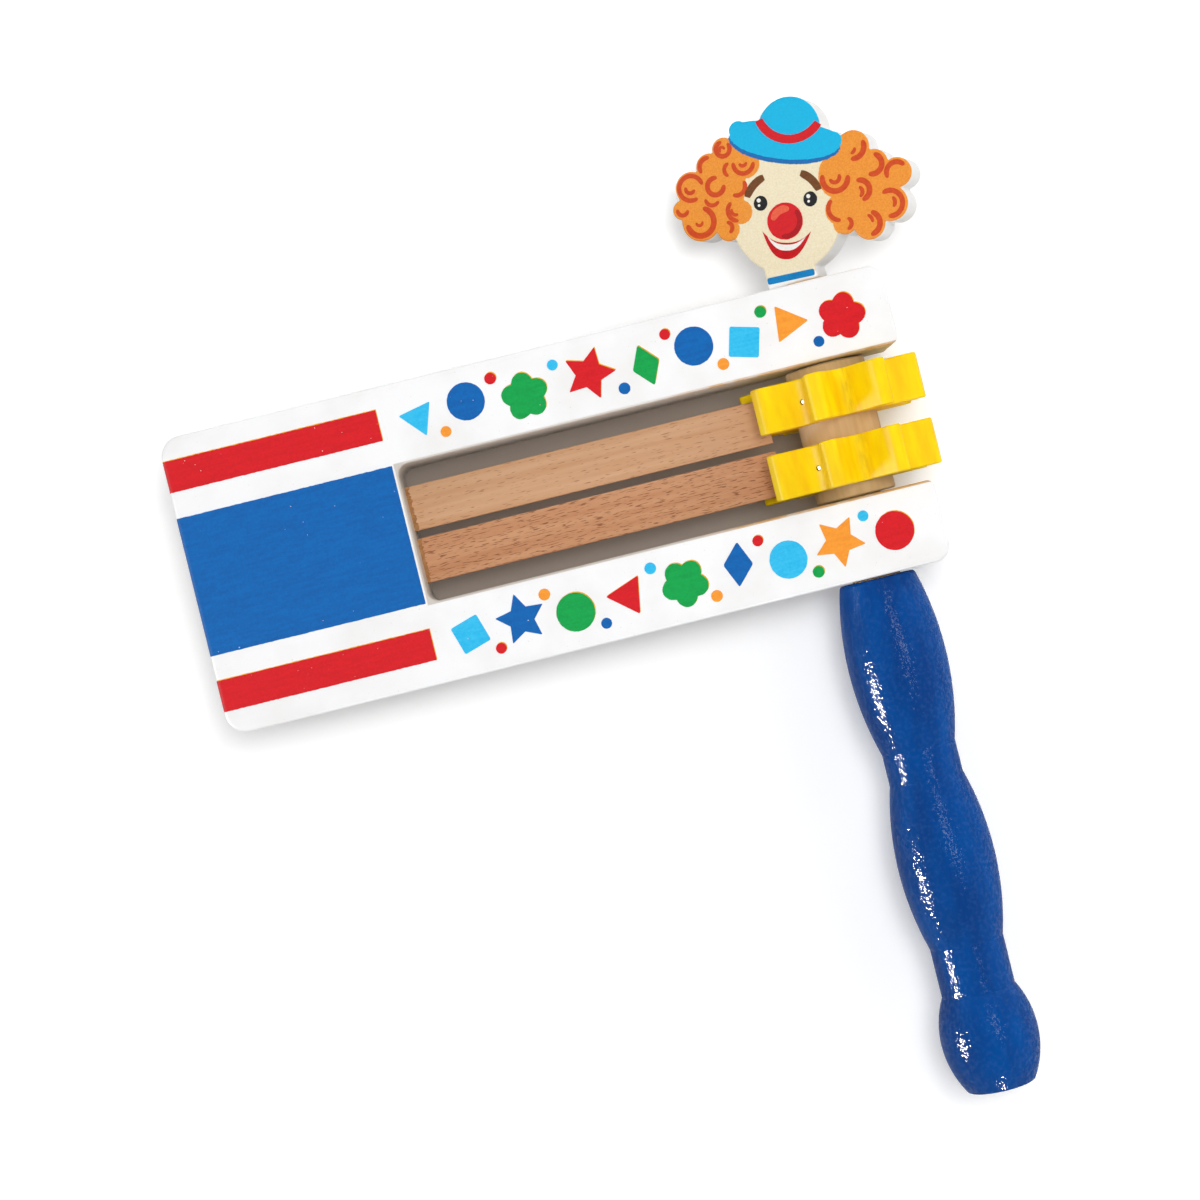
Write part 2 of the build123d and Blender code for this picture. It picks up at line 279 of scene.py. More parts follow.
@dataclass(frozen=True)
class SprayedWhite(Finish):
    """White paint sprayed on a sanded board: satin, with the grain faintly raised under it."""

    window: PaintedWindow
    grain: Triple = (16.0, 0.8, 0.8)
    # clouds where the coat is thinner over the wood
    cloud: float = 14.0
    # dust nibs, larger than real dust so that they show
    dust: float = 0.4
    worn_patch: float = 3.0
    # how far from the walls, inside the wood, the painted shade on the walls starts and is full
    wall_shade_start: float = 0.62
    wall_shade_full: float = 0.4
    # length over which the wear comes in, and its depths below the top where it starts and is full
    rub_fade: float = 12.0
    rub_depths: Span = (1.6, 0.9)

    def draw(self, tree: Tree, spot: Node) -> dict[str, Any]:
        """Clouds the white a little, raises the grain, paints shade on the window's walls and rubs the
        edges next to the wheels.
        """
        grain = streaks(tree, spot, self.grain, 4.0)
        cloud = add_node(tree, "TexNoise", {"Vector": spot, "Scale": 1 / self.cloud, "Detail": 3.0})
        coat = tint(tree, cloud, (0.4, 0.7), "f6f6f7", "eeedec")
        dust = add_node(tree, "TexNoise", {"Vector": spot, "Scale": 1 / self.dust, "Detail": 1.0})
        dusty = tint(tree, dust, (0.76, 0.8), coat, "a9a49c", 0.45)
        satin = {"Value": grain, "From Min": 0.3, "From Max": 0.7, "To Min": 0.42, "To Max": 0.56}
        return {
            "Base Color": self.shade_walls_and_rub(tree, spot, dusty),
            "Roughness": add_node(tree, "MapRange", satin),
            "Normal": add_node(tree, "Bump", {"Strength": 0.35, "Distance": 0.03 * MM, "Height": grain}),
            "IOR": 1.48,
        }

    def shade_walls_and_rub(self, tree: Tree, spot: Node, paint: Node) -> Node:
        """Paints shade on the window's walls and the block's inner end, and wears the paint to bare wood
        next to the wheels.

        Args:
            tree: The material's node tree.
            spot: Object coordinates in millimetres.
            paint: Colour of the paint.

        Returns:
            Colour of the paint with the painted shade on the walls and the worn edge.
        """
        window = self.window
        axes = add_node(tree, "SeparateXYZ", {0: spot})
        off = add_node(tree, "Math", {0: axes.outputs["Y"], 1: window.middle}, operation="SUBTRACT")
        side = add_node(tree, "Math", {0: off}, operation="ABSOLUTE")
        wall_start = window.half_width + self.wall_shade_start
        wall_full = window.half_width + self.wall_shade_full
        block_start = window.block_face - self.wall_shade_start
        block_full = window.block_face - self.wall_shade_full
        inside = add_node(tree, "MapRange", {"Value": side, "From Min": wall_start, "From Max": wall_full})
        past = add_node(
            tree,
            "MapRange",
            {"Value": axes.outputs["X"], "From Min": block_start, "From Max": block_full, "To Max": 0.85},
        )
        wall_shade_mask = add_node(tree, "Math", {0: inside, 1: past}, operation="MULTIPLY")
        # painted shade: the window's walls and the block's inner end turn grey-beige, as they stand in the
        # window's shade
        thin = add_node(tree, "Mix", {0: wall_shade_mask, 6: paint, 7: "c3bbb1"}, data_type="RGBA")
        start = window.rub_start
        outer = {"Value": axes.outputs["X"], "From Min": start, "From Max": start + self.rub_fade}
        deep, shallow = (window.top - depth for depth in self.rub_depths)
        high = {"Value": axes.outputs["Z"], "From Min": deep, "From Max": shallow}
        patchy = add_node(tree, "TexNoise", {"Vector": spot, "Scale": 1 / self.worn_patch, "Detail": 4.0})
        worn = {"Value": patchy, "From Min": 0.32, "From Max": 0.56, "To Min": 0.15, "To Max": 0.85}
        mask = inside
        for part in (outer, high, worn):
            share = add_node(tree, "MapRange", part)
            mask = add_node(tree, "Math", {0: mask, 1: share}, operation="MULTIPLY")
        return add_node(tree, "Mix", {0: mask, 6: thin, 7: "c99752"}, data_type="RGBA")


@dataclass(frozen=True)
class PrintedInk(Finish):
    """Ink printed on the white paint: flat and dry, mottled along the grain, with a few pinholes."""

    ink: Ink
    # level of the pattern that opens a pinhole: a lower one opens more
    pinhole_level: float
    fibre: Triple = (5.0, 0.7, 0.7)
    # the print's own grit is finer than 0.3 mm, and is drawn coarser to show
    grit: float = 0.5
    pinhole: float = 0.45

    def draw(self, tree: Tree, spot: Node) -> dict[str, Any]:
        """Mottles the ink along the board and lets the white show through its pinholes."""
        fibre = streaks(tree, spot, self.fibre, 4.0)
        grit = add_node(tree, "TexNoise", {"Vector": spot, "Scale": 1 / self.grit, "Detail": 2.0})
        both = add_node(tree, "Math", {0: fibre, 1: grit}, operation="ADD")
        inked = tint(tree, both, (0.75, 1.25), *self.ink.value)
        speck = add_node(tree, "TexNoise", {"Vector": spot, "Scale": 1 / self.pinhole, "Detail": 0.0})
        opening = (self.pinhole_level, self.pinhole_level + 0.03)
        return {
            "Base Color": tint(tree, speck, opening, inked, "f3f1ee", 0.8),
            "Normal": add_node(tree, "Bump", {"Strength": 0.3, "Distance": 0.03 * MM, "Height": both}),
            "Roughness": 0.65,
            "Specular IOR Level": 0.12,
        }


@dataclass(frozen=True)
class SawnBeech(Finish):
    """Bare sanded beech: warm, dull, with short dark flecks that run along the strip."""

    light: str
    dark: str
    fleck: str
    # level of the pattern that makes a fleck: a lower one makes more
    fleck_level: float
    # where the darker band at the root ends, along the strip
    dark_root_end: float
    band: Triple = (45.0, 1.6, 1.6)
    ray: Triple = (2.4, 0.26, 0.26)
    dark_root_ragged: float = 3.0

    def draw(self, tree: Tree, spot: Node) -> dict[str, Any]:
        """Streaks the wood along the strip, adds its flecks and darkens the root end in a ragged band."""
        band = streaks(tree, spot, self.band, 5.0)
        wood = tint(tree, band, (0.34, 0.66), self.light, self.dark)
        ray = streaks(tree, spot, self.ray, 1.0)
        level = self.fleck_level
        dash = add_node(
            tree, "MapRange", {"Value": ray, "From Min": level, "From Max": level + 0.08, "To Max": 0.85}
        )
        flecked = add_node(tree, "Mix", {0: dash, 6: wood, 7: self.fleck}, data_type="RGBA")
        axes = add_node(tree, "SeparateXYZ", {0: spot})
        edge = {0: band, 1: -self.dark_root_ragged, 2: axes.outputs["X"]}
        ragged = add_node(tree, "Math", edge, operation="MULTIPLY_ADD")
        relief = {"Strength": 0.5, "Distance": 0.04 * MM, "Height": dash}
        return {
            # darker in a ragged band at the root, next to the block
            "Base Color": tint(tree, ragged, (self.dark_root_end + 0.4, self.dark_root_end - 0.6), flecked, "a8703c", 0.4),
            "Normal": add_node(tree, "Bump", relief, invert=True),
            "Roughness": 0.62,
            "Specular IOR Level": 0.3,
        }


@dataclass(frozen=True)
class DippedYellow(Finish):
    """Yellow paint from a dip on cut wood: thick, even and bright, with a darker speckled line in the top
    valley.
    """

    axle: Triple
    streak: Triple = (3.0, 12.0, 3.0)
    # streaks across the wheel that break the darker line into specks
    line_speckle: Triple = (0.9, 4.0, 0.9)
    # the darker line: its place past the axle, its reach, and the heights where it starts and is full
    line_offset: float = 2.4
    line_reach: float = 1.9
    line_heights: Span = (6.0, 9.0)

    def draw(self, tree: Tree, spot: Node) -> dict[str, Any]:
        """Thickens the colour in streaks across the wheel and darkens a speckled line in the top valley."""
        streak = streaks(tree, spot, self.streak, 3.0)
        paint = tint(tree, streak, (0.38, 0.66), "ffdd00", "f8ca04")
        off = add_node(tree, "VectorMath", {0: spot, 1: self.axle}, operation="SUBTRACT")
        axes = add_node(tree, "SeparateXYZ", {0: off})
        past = add_node(tree, "Math", {0: axes.outputs["X"], 1: self.line_offset}, operation="SUBTRACT")
        away = add_node(tree, "Math", {0: past}, operation="ABSOLUTE")
        near = add_node(tree, "MapRange", {"Value": away, "From Min": self.line_reach, "From Max": 0.0})
        low, high = self.line_heights
        above = add_node(tree, "MapRange", {"Value": axes.outputs["Z"], "From Min": low, "From Max": high})
        line_speckle = streaks(tree, spot, self.line_speckle, 3.0)
        speckle_share = add_node(
            tree, "MapRange", {"Value": line_speckle, "From Min": 0.36, "From Max": 0.7, "To Max": 0.6}
        )
        line = add_node(tree, "Math", {0: near, 1: above}, operation="MULTIPLY")
        dark_line = add_node(tree, "Math", {0: line, 1: speckle_share}, operation="MULTIPLY")
        return {
            # darker brownish speckled line along the top valley
            "Base Color": add_node(tree, "Mix", {0: dark_line, 6: paint, 7: "b58a1c"}, data_type="RGBA"),
            "Normal": add_node(tree, "Bump", {"Strength": 0.12, "Distance": 0.04 * MM, "Height": streak}),
            "Roughness": 0.5,
            "Specular IOR Level": 0.15,
        }


@dataclass(frozen=True)
class BlueLacquer(Finish):
    """Blue lacquer over a turned handle: deep and wet, with a grit that breaks the shine into sparks."""

    run: Triple = (7.0, 26.0, 7.0)
    # the grit in the lacquer is finer, and is drawn as coarse as its sparks need to show
    grit: float = 0.85

    def draw(self, tree: Tree, spot: Node) -> dict[str, Any]:
        """Varies the depth of the blue along the handle and breaks up the clear coat."""
        blue = tint(tree, streaks(tree, spot, self.run, 3.0), (0.35, 0.65), "034c99", "0a3d82")
        grit = add_node(tree, "TexNoise", {"Vector": spot, "Scale": 1 / self.grit, "Detail": 1.0})
        spark = {"Value": grit, "From Min": 0.4, "From Max": 0.62, "To Min": 0.13, "To Max": 0.34}
        relief = {"Strength": 1.0, "Distance": 0.17 * MM, "Height": grit}
        return {
            "Base Color": tint(tree, grit, (0.5, 0.75), blue, "2f6fc0", 0.1),
            "Coat Weight": add_node(tree, "MapRange", spark),
            "Coat Normal": add_node(tree, "Bump", relief),
            "Roughness": 0.5,
            "Specular IOR Level": 0.0,
            "Coat Roughness": 0.07,
        }


@dataclass(frozen=True)
class BareDowel(Finish):
    """Bare dowel of pale hardwood: dry, with fine grain along its length."""

    line: Triple = (1.3, 16.0, 1.3)

    def draw(self, tree: Tree, spot: Node) -> dict[str, Any]:
        """Runs the grain along the dowel."""
        line = streaks(tree, spot, self.line, 5.0)
        return {
            "Base Color": tint(tree, line, (0.36, 0.66), "d1b385", "c6a778"),
            "Normal": add_node(tree, "Bump", {"Strength": 0.4, "Distance": 0.04 * MM, "Height": line}),
            "Roughness": 0.65,
            "Specular IOR Level": 0.3,
        }


@dataclass(frozen=True)
class DrawnSteel(Finish):
    """Drawn steel wire of a brad: plain steel in the middle, darkened round its edge by painted shade of
    the hole it is sunk in.
    """

    centre: Triple
    along: Triple
    # radius within which the steel keeps its own colour, and the width over which the painted shade of the
    # hole comes in past it
    bright: float = 0.3
    rim_shade_width: float = 0.12

    def draw(self, tree: Tree, spot: Node) -> dict[str, Any]:
        """Paints shade on the steel away from its axis, where the wall of the hole shades it."""
        away = add_node(tree, "VectorMath", {0: spot, 1: self.centre}, operation="SUBTRACT")
        across = add_node(tree, "VectorMath", {0: away, 1: self.along}, operation="CROSS_PRODUCT")
        radius = add_node(tree, "VectorMath", {0: across}, operation="LENGTH")
        return {
            # painted shade: the steel goes dark round its edge, where it sits sunk in its hole
            "Base Color": tint(tree, radius, (self.bright, self.bright + self.rim_shade_width), "dcd8d2", "2a2622"),
            "Roughness": 0.35,
            "Metallic": 0.6,
        }


@dataclass(frozen=True)
class HideGlue(Finish):
    """Glue squeezed out where a slat enters the block: amber, smooth and a little clear."""

    pool: float = 1.2

    def draw(self, tree: Tree, spot: Node) -> dict[str, Any]:
        """Darkens the amber where the bead is thick."""
        pool = add_node(tree, "TexNoise", {"Vector": spot, "Scale": 1 / self.pool, "Detail": 2.0})
        return {
            "Base Color": add_node(tree, "Mix", {0: pool, 6: "c08a50", 7: "86542a"}, data_type="RGBA"),
            "Roughness": 0.3,
        }


@dataclass(frozen=True)
class Oval:
    """An oval zone of the head's print, in millimetres from the middle of the face."""

    across: float
    up: float
    half_width: float
    half_height: float
    turn: float = 0.0


@dataclass(frozen=True)
class PrintedHead(Finish):
    """White board with a printed face: flat zones of dry ink on the front, bare paint on the sides."""

    origin: Triple
    across: Triple
    up: Triple
    out: Triple
    zones: tuple[tuple[Ink, tuple[Oval, ...]], ...]
    # length of a wave along an edge of ink, and the most that it moves the edge
    waver: float = 0.6
    waver_most: float = 0.16
    # the print's own grit is finer than 0.3 mm, and is drawn coarser to show
    grit: float = 0.4
    cloud: float = 9.0
    # half the width over which an edge of ink fades, and how deep the ink goes over the front's edge
    edge_fade: float = 0.03
    ink_depths: Span = (-0.5, -0.42)

    def draw(self, tree: Tree, spot: Node) -> dict[str, Any]:
        """Lays one zone of ink over the other, in order, on the side of the board that faces out."""
        local = add_node(tree, "VectorMath", {0: spot, 1: self.origin}, operation="SUBTRACT")
        across, up, out = (
            add_node(tree, "VectorMath", {0: local, 1: axis}, operation="DOT_PRODUCT")
            for axis in (self.across, self.up, self.out)
        )
        flat = add_node(tree, "CombineXYZ", {0: across, 1: up})
        bare, inky = self.ink_depths
        front = add_node(tree, "MapRange", {"Value": out, "From Min": bare, "From Max": inky})
        waver = add_node(tree, "TexNoise", {"Vector": spot, "Scale": 1 / self.waver, "Detail": 2.0})
        nudge = add_node(
            tree, "MapRange", {"Value": waver, "To Min": -self.waver_most, "To Max": self.waver_most}
        )
        grit = add_node(tree, "TexNoise", {"Vector": spot, "Scale": 1 / self.grit, "Detail": 2.0})
        mottle = add_node(tree, "MapRange", {"Value": grit, "From Min": 0.35, "From Max": 0.65})
        cloud = add_node(tree, "TexNoise", {"Vector": spot, "Scale": 1 / self.cloud, "Detail": 3.0})
        colour = add_node(tree, "Mix", {0: cloud, 6: "f9f9f8", 7: "f0eeec"}, data_type="RGBA")
        fade = self.edge_fade
        for ink, ovals in self.zones:
            edge = add_node(tree, "Math", {0: self.edge(tree, flat, ovals), 1: nudge}, operation="ADD")
            inside = add_node(tree, "MapRange", {"Value": edge, "From Min": fade, "From Max": -fade})
            mask = add_node(tree, "Math", {0: inside, 1: front}, operation="MULTIPLY")
            first, second = ink.value
            inked = add_node(tree, "Mix", {0: mottle, 6: first, 7: second}, data_type="RGBA")
            colour = add_node(tree, "Mix", {0: mask, 6: colour, 7: inked}, data_type="RGBA")
        return {
            "Base Color": colour,
            "Normal": add_node(tree, "Bump", {"Strength": 0.3, "Distance": 0.03 * MM, "Height": grit}),
            "Roughness": 0.6,
            "Specular IOR Level": 0.15,
        }

    def edge(self, tree: Tree, flat: Node, ovals: tuple[Oval, ...]) -> Node:
        """Distance to the edge of a union of ovals, below zero inside.

        Args:
            tree: The material's node tree.
            flat: Place on the board, in millimetres from the middle of the face.
            ovals: The ovals.

        Returns:
            The distance, in about millimetres.
        """
        nearest = None
        for oval in ovals:
            size = min(oval.half_width, oval.half_height)
            spread = {
                "Vector": flat,
                "Location": (oval.across, oval.up, 0),
                "Rotation": (0, 0, math.radians(oval.turn)),
                "Scale": (oval.half_width, oval.half_height, 1),
            }
            place = add_node(tree, "Mapping", spread, vector_type="TEXTURE")
            reach = add_node(tree, "VectorMath", {0: place}, operation="LENGTH")
            away = add_node(tree, "Math", {0: reach, 1: size, 2: -size}, operation="MULTIPLY_ADD")
            if nearest:
                away = add_node(tree, "Math", {0: nearest, 1: away}, operation="MINIMUM")
            nearest = away
        return nearest


def round_off(mesh: Mesh, geom: list[Any], offset: float, segments: int, affect: str = "VERTICES") -> None:
    """Rounds the corners of flat shapes, or edges.

    Args:
        mesh: Mesh that they are on.
        geom: The corners or the edges.
        offset: Reach of the round.
        segments: Steps of the round.
        affect: VERTICES for corners, EDGES for edges.
    """
    bmesh.ops.bevel(
        mesh, geom=geom, offset=offset, segments=segments, profile=0.5, affect=affect, material=-1
    )


def cut_up(mesh: Mesh, axis: int, longest: float, cuts: int) -> None:
    """Cuts the edges that are long along one axis into short ones, so that the mesh can bend or waver.

    Args:
        mesh: The mesh.
        axis: Number of the axis.
        longest: Length that an edge may have along it uncut, in millimetres.
        cuts: Number of cuts.
    """
    edges = [e for e in mesh.edges if abs(e.verts[0].co[axis] - e.verts[1].co[axis]) > longest]
    bmesh.ops.subdivide_edges(mesh, edges=edges, cuts=cuts, use_grid_fill=True)


def thicken(mesh: Mesh) -> None:
    """Turns flat shapes upwards and gives them the thickness of the ink.

    Args:
        mesh: The shapes, in millimetres.
    """
    bmesh.ops.recalc_face_normals(mesh, faces=mesh.faces[:])
    bmesh.ops.reverse_faces(mesh, faces=[f for f in mesh.faces if f.normal.z < 0])
    bmesh.ops.solidify(mesh, geom=mesh.faces[:], thickness=INK_THICKNESS)


def make_piece(
    name: str, mesh: Mesh, finish: Material, body: str | None, plane: Matrix = TO_METRES
) -> bpy.types.Object:
    """Turns a bmesh into a named piece of the object.

    Args:
        name: Name of the piece.
        mesh: Its mesh, in millimetres; it is freed.
        finish: Its material.
        body: Body that it rides on, or None for one that rides on no body.
        plane: Place of the mesh on the object, from millimetres to metres.

    Returns:
        The piece.
    """
    bmesh.ops.transform(mesh, matrix=plane, verts=mesh.verts[:])
    bmesh.ops.recalc_face_normals(mesh, faces=mesh.faces[:])
    data = bpy.data.meshes.new(name)
    mesh.to_mesh(data)
    mesh.free()
    data.materials.append(finish)
    piece = bpy.data.objects.new(name, data)
    bpy.context.scene.collection.objects.link(piece)
    if body:
        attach(piece, body)
    log.info("%s: %d faces", name, len(data.polygons))
    return piece


@dataclass
class InkSheet:
    """Flat shapes of one ink, drawn in millimetres on a plane and laid as a thin printed layer."""

    name: str
    # place of the drawing on the object, from millimetres to metres
    plane: Matrix
    # height of the ink's top above the surface
    lift: float
    # seed of the ragged edges
    seed: int
    segments: int = 60
    petal_depth: float = 0.24
    # how far the edge of a round shape wavers, at most and over its radius
    ragged_most: float = 0.035
    ragged_share: float = 0.02
    star_waist: float = 0.5
    # reach of the rounded corners, over the radius or the height
    polygon_corner: float = 0.09
    star_corner: float = 0.05
    bar_corner: float = 0.3
    # half the thickness of a crescent at its corners, and the power of its curves
    crescent_tip: float = 0.04
    crescent_power: float = 2.5
    # length over which a stroke widens from its end, over its width
    stroke_taper: float = 1.2
    mesh: Mesh = field(init=False)
    chance: random.Random = field(init=False)

    def __post_init__(self) -> None:
        """Starts an empty sheet."""
        self.mesh = bmesh.new()
        self.chance = random.Random(self.seed)

    def place(self, shape: Mesh, x: float, y: float, turn: float = 0.0, ragged: float = 0.0) -> None:
        """Moves a shape from the middle of the drawing to its place and adds it to the sheet.

        Args:
            shape: The shape's mesh; it is freed.
            x: Place across, in millimetres.
            y: Place up, in millimetres.
            turn: Turn about its middle, in degrees.
            ragged: How far its edge wavers, in millimetres.
        """
        for vert in shape.verts:
            vert.co.x += self.chance.uniform(-ragged, ragged)
            vert.co.y += self.chance.uniform(-ragged, ragged)
        move = Matrix.Translation((x, y, 0)) @ Matrix.Rotation(math.radians(turn), 4, "Z")
        bmesh.ops.transform(shape, matrix=move, verts=shape.verts[:])
        carrier = bpy.data.meshes.new("shape")
        shape.to_mesh(carrier)
        shape.free()
        self.mesh.from_mesh(carrier)
        bpy.data.meshes.remove(carrier)

    def oval(
        self, x: float, y: float, radius: float, stretch: float = 1.0, turn: float = 0.0, lobes: int = 0
    ) -> None:
        """Draws a disc, an oval or, with lobes, a flower.

        Args:
            x: Place across.
            y: Place up.
            radius: Half the width.
            stretch: Height over width.
            turn: Turn in degrees.
            lobes: Number of petals.
        """
        shape = bmesh.new()
        made = bmesh.ops.create_circle(shape, cap_ends=True, radius=radius, segments=self.segments)
        for vert in made["verts"]:
            angle = math.atan2(vert.co.y, vert.co.x)
            swell = 1 - self.petal_depth * (1 - abs(math.cos(lobes * angle / 2))) if lobes else 1.0
            vert.co.x *= swell
            vert.co.y *= swell * stretch
        self.place(shape, x, y, turn, min(self.ragged_most, radius * self.ragged_share))

    def polygon(
        self, x: float, y: float, radius: float, sides: int, stretch: float = 1.0, turn: float = 0.0
    ) -> None:
        """Draws a polygon with slightly rounded corners.

        Args:
            x: Place across.
            y: Place up.
            radius: Radius of the corners.
            sides: Number of sides.
            stretch: Height over width.
            turn: Turn in degrees.
        """
        shape = bmesh.new()
        made = bmesh.ops.create_circle(shape, cap_ends=True, radius=radius, segments=sides)
        bmesh.ops.scale(shape, vec=(1, stretch, 1), verts=made["verts"])
        round_off(shape, made["verts"], radius * self.polygon_corner, 3)
        self.place(shape, x, y, turn)

    def star(self, x: float, y: float, radius: float, points: int, turn: float) -> None:
        """Draws a star.

        Args:
            x: Place across.
            y: Place up.
            radius: Radius of the points.
            points: Number of points.
            turn: Turn in degrees.
        """
        shape = bmesh.new()
        made = bmesh.ops.create_circle(shape, cap_ends=True, radius=radius, segments=2 * points)
        bmesh.ops.scale(shape, vec=(self.star_waist, self.star_waist, 1), verts=made["verts"][::2])
        round_off(shape, made["verts"][1::2], radius * self.star_corner, 2)
        self.place(shape, x, y, turn)

    def bar(self, x: float, y: float, length: float, height: float, turn: float) -> None:
        """Draws a straight bar with rounded corners.

        Args:
            x: Place across of its middle.
            y: Place up of its middle.
            length: Its length.
            height: Its height.
            turn: Turn in degrees.
        """
        shape = bmesh.new()
        made = bmesh.ops.create_grid(shape, x_segments=1, y_segments=1, size=0.5)
        bmesh.ops.scale(shape, vec=(length, height, 1), verts=made["verts"])
        round_off(shape, made["verts"], height * self.bar_corner, 3)
        self.place(shape, x, y, turn)

    def crescent(
        self, x: float, y: float, half_width: float, upper: float, lower: float, turn: float
    ) -> None:
        """Draws the shape between two curves that hang from the same two corners.

        Args:
            x: Place across of the middle between the corners.
            y: Place up of the corners.
            half_width: Half the distance between the corners.
            upper: How far the upper curve hangs down.
            lower: How far the lower curve hangs down.
            turn: Turn in degrees.
        """
        shape = bmesh.new()
        bmesh.ops.create_grid(shape, x_segments=32, y_segments=1, size=1.0)
        for vert in shape.verts:
            share = vert.co.x
            above = vert.co.y > 0
            hang = (upper if above else lower) * (1 - abs(share) ** self.crescent_power)
            vert.co.x = half_width * share
            vert.co.y = (self.crescent_tip if above else -self.crescent_tip) - hang
        self.place(shape, x, y, turn)

    def stroke(
        self, x: float, y: float, radius: float, start: float, sweep: float, width: float, tail: float
    ) -> None:
        """Draws a curved brush stroke.

        Args:
            x: Place across of the arc's centre.
            y: Place up of the arc's centre.
            radius: Radius of the arc.
            start: Angle at which it starts, in degrees.
            sweep: Angle that it sweeps, in degrees.
            width: Width at its middle.
            tail: Width at its ends over the width at its middle.
        """
        shape = bmesh.new()
        inner = shape.verts.new((radius - width / 2, 0, 0))
        outer = shape.verts.new((radius + width / 2, 0, 0))
        edge = shape.edges.new((inner, outer))
        bmesh.ops.spin(
            shape,
            geom=[inner, outer, edge],
            cent=(0, 0, 0),
            axis=(0, 0, 1),
            angle=math.radians(sweep),
            steps=max(10, int(sweep / 6)),
        )
        for vert in shape.verts:
            angle = math.degrees(math.atan2(vert.co.y, vert.co.x)) % 360
            share = min(1.0, angle / sweep) if angle < (sweep + 360) / 2 else 0.0
            away = min(share, 1 - share) * sweep * math.pi / 180 * radius / width
            grown = min(1.0, away / self.stroke_taper)
            wide = tail + (1 - tail) * math.sqrt(max(0.0, 1 - (1 - grown) ** 2))
            reach = radius + (vert.co.xy.length - radius) * wide
            vert.co.xy = vert.co.xy.normalized() * reach
        self.place(shape, x, y, start)

    def lay(self, finish: Material, body: str, slot: str) -> None:
        """Turns the drawing into a thin closed layer on the object.

        Args:
            finish: Material of the ink.
            body: Body that the layer rides on.
            slot: Material slot of the surface under it; not used.
        """
        mesh = self.mesh
        thicken(mesh)
        highest = max(v.co.z for v in mesh.verts)
        bmesh.ops.translate(mesh, vec=(0, 0, self.lift - highest), verts=mesh.verts[:])
        make_piece(self.name, mesh, finish, body, self.plane)


@dataclass
class Layout:
    """Places that the sub-assemblies share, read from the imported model, in millimetres."""

    frame: dict[str, Any]
    axle: Vector = field(init=False)
    low: Vector = field(init=False)
    high: Vector = field(init=False)
    block_face: float = field(init=False)

    def __post_init__(self) -> None:
        """Reads the axle's place and the frame's box."""
        places = {joint["name"]: Vector(joint["pos_m"]) / MM for joint in self.frame["joints"]}
        self.axle = places["handle_spin"]
        self.block_face = places["upper_slat_flex"].x
        low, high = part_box("frame")
        self.low = low / MM
        self.high = high / MM

    def dress(self, node: str, finish: Material) -> None:
        """Gives a CAD node its finish.

        Args:
            node: Name of the node.
            finish: Its material.
        """
        for slot in self.frame["nodes"][node].material_slots:
            slot.material = finish
        log.info("%s: %s", node, finish.name)


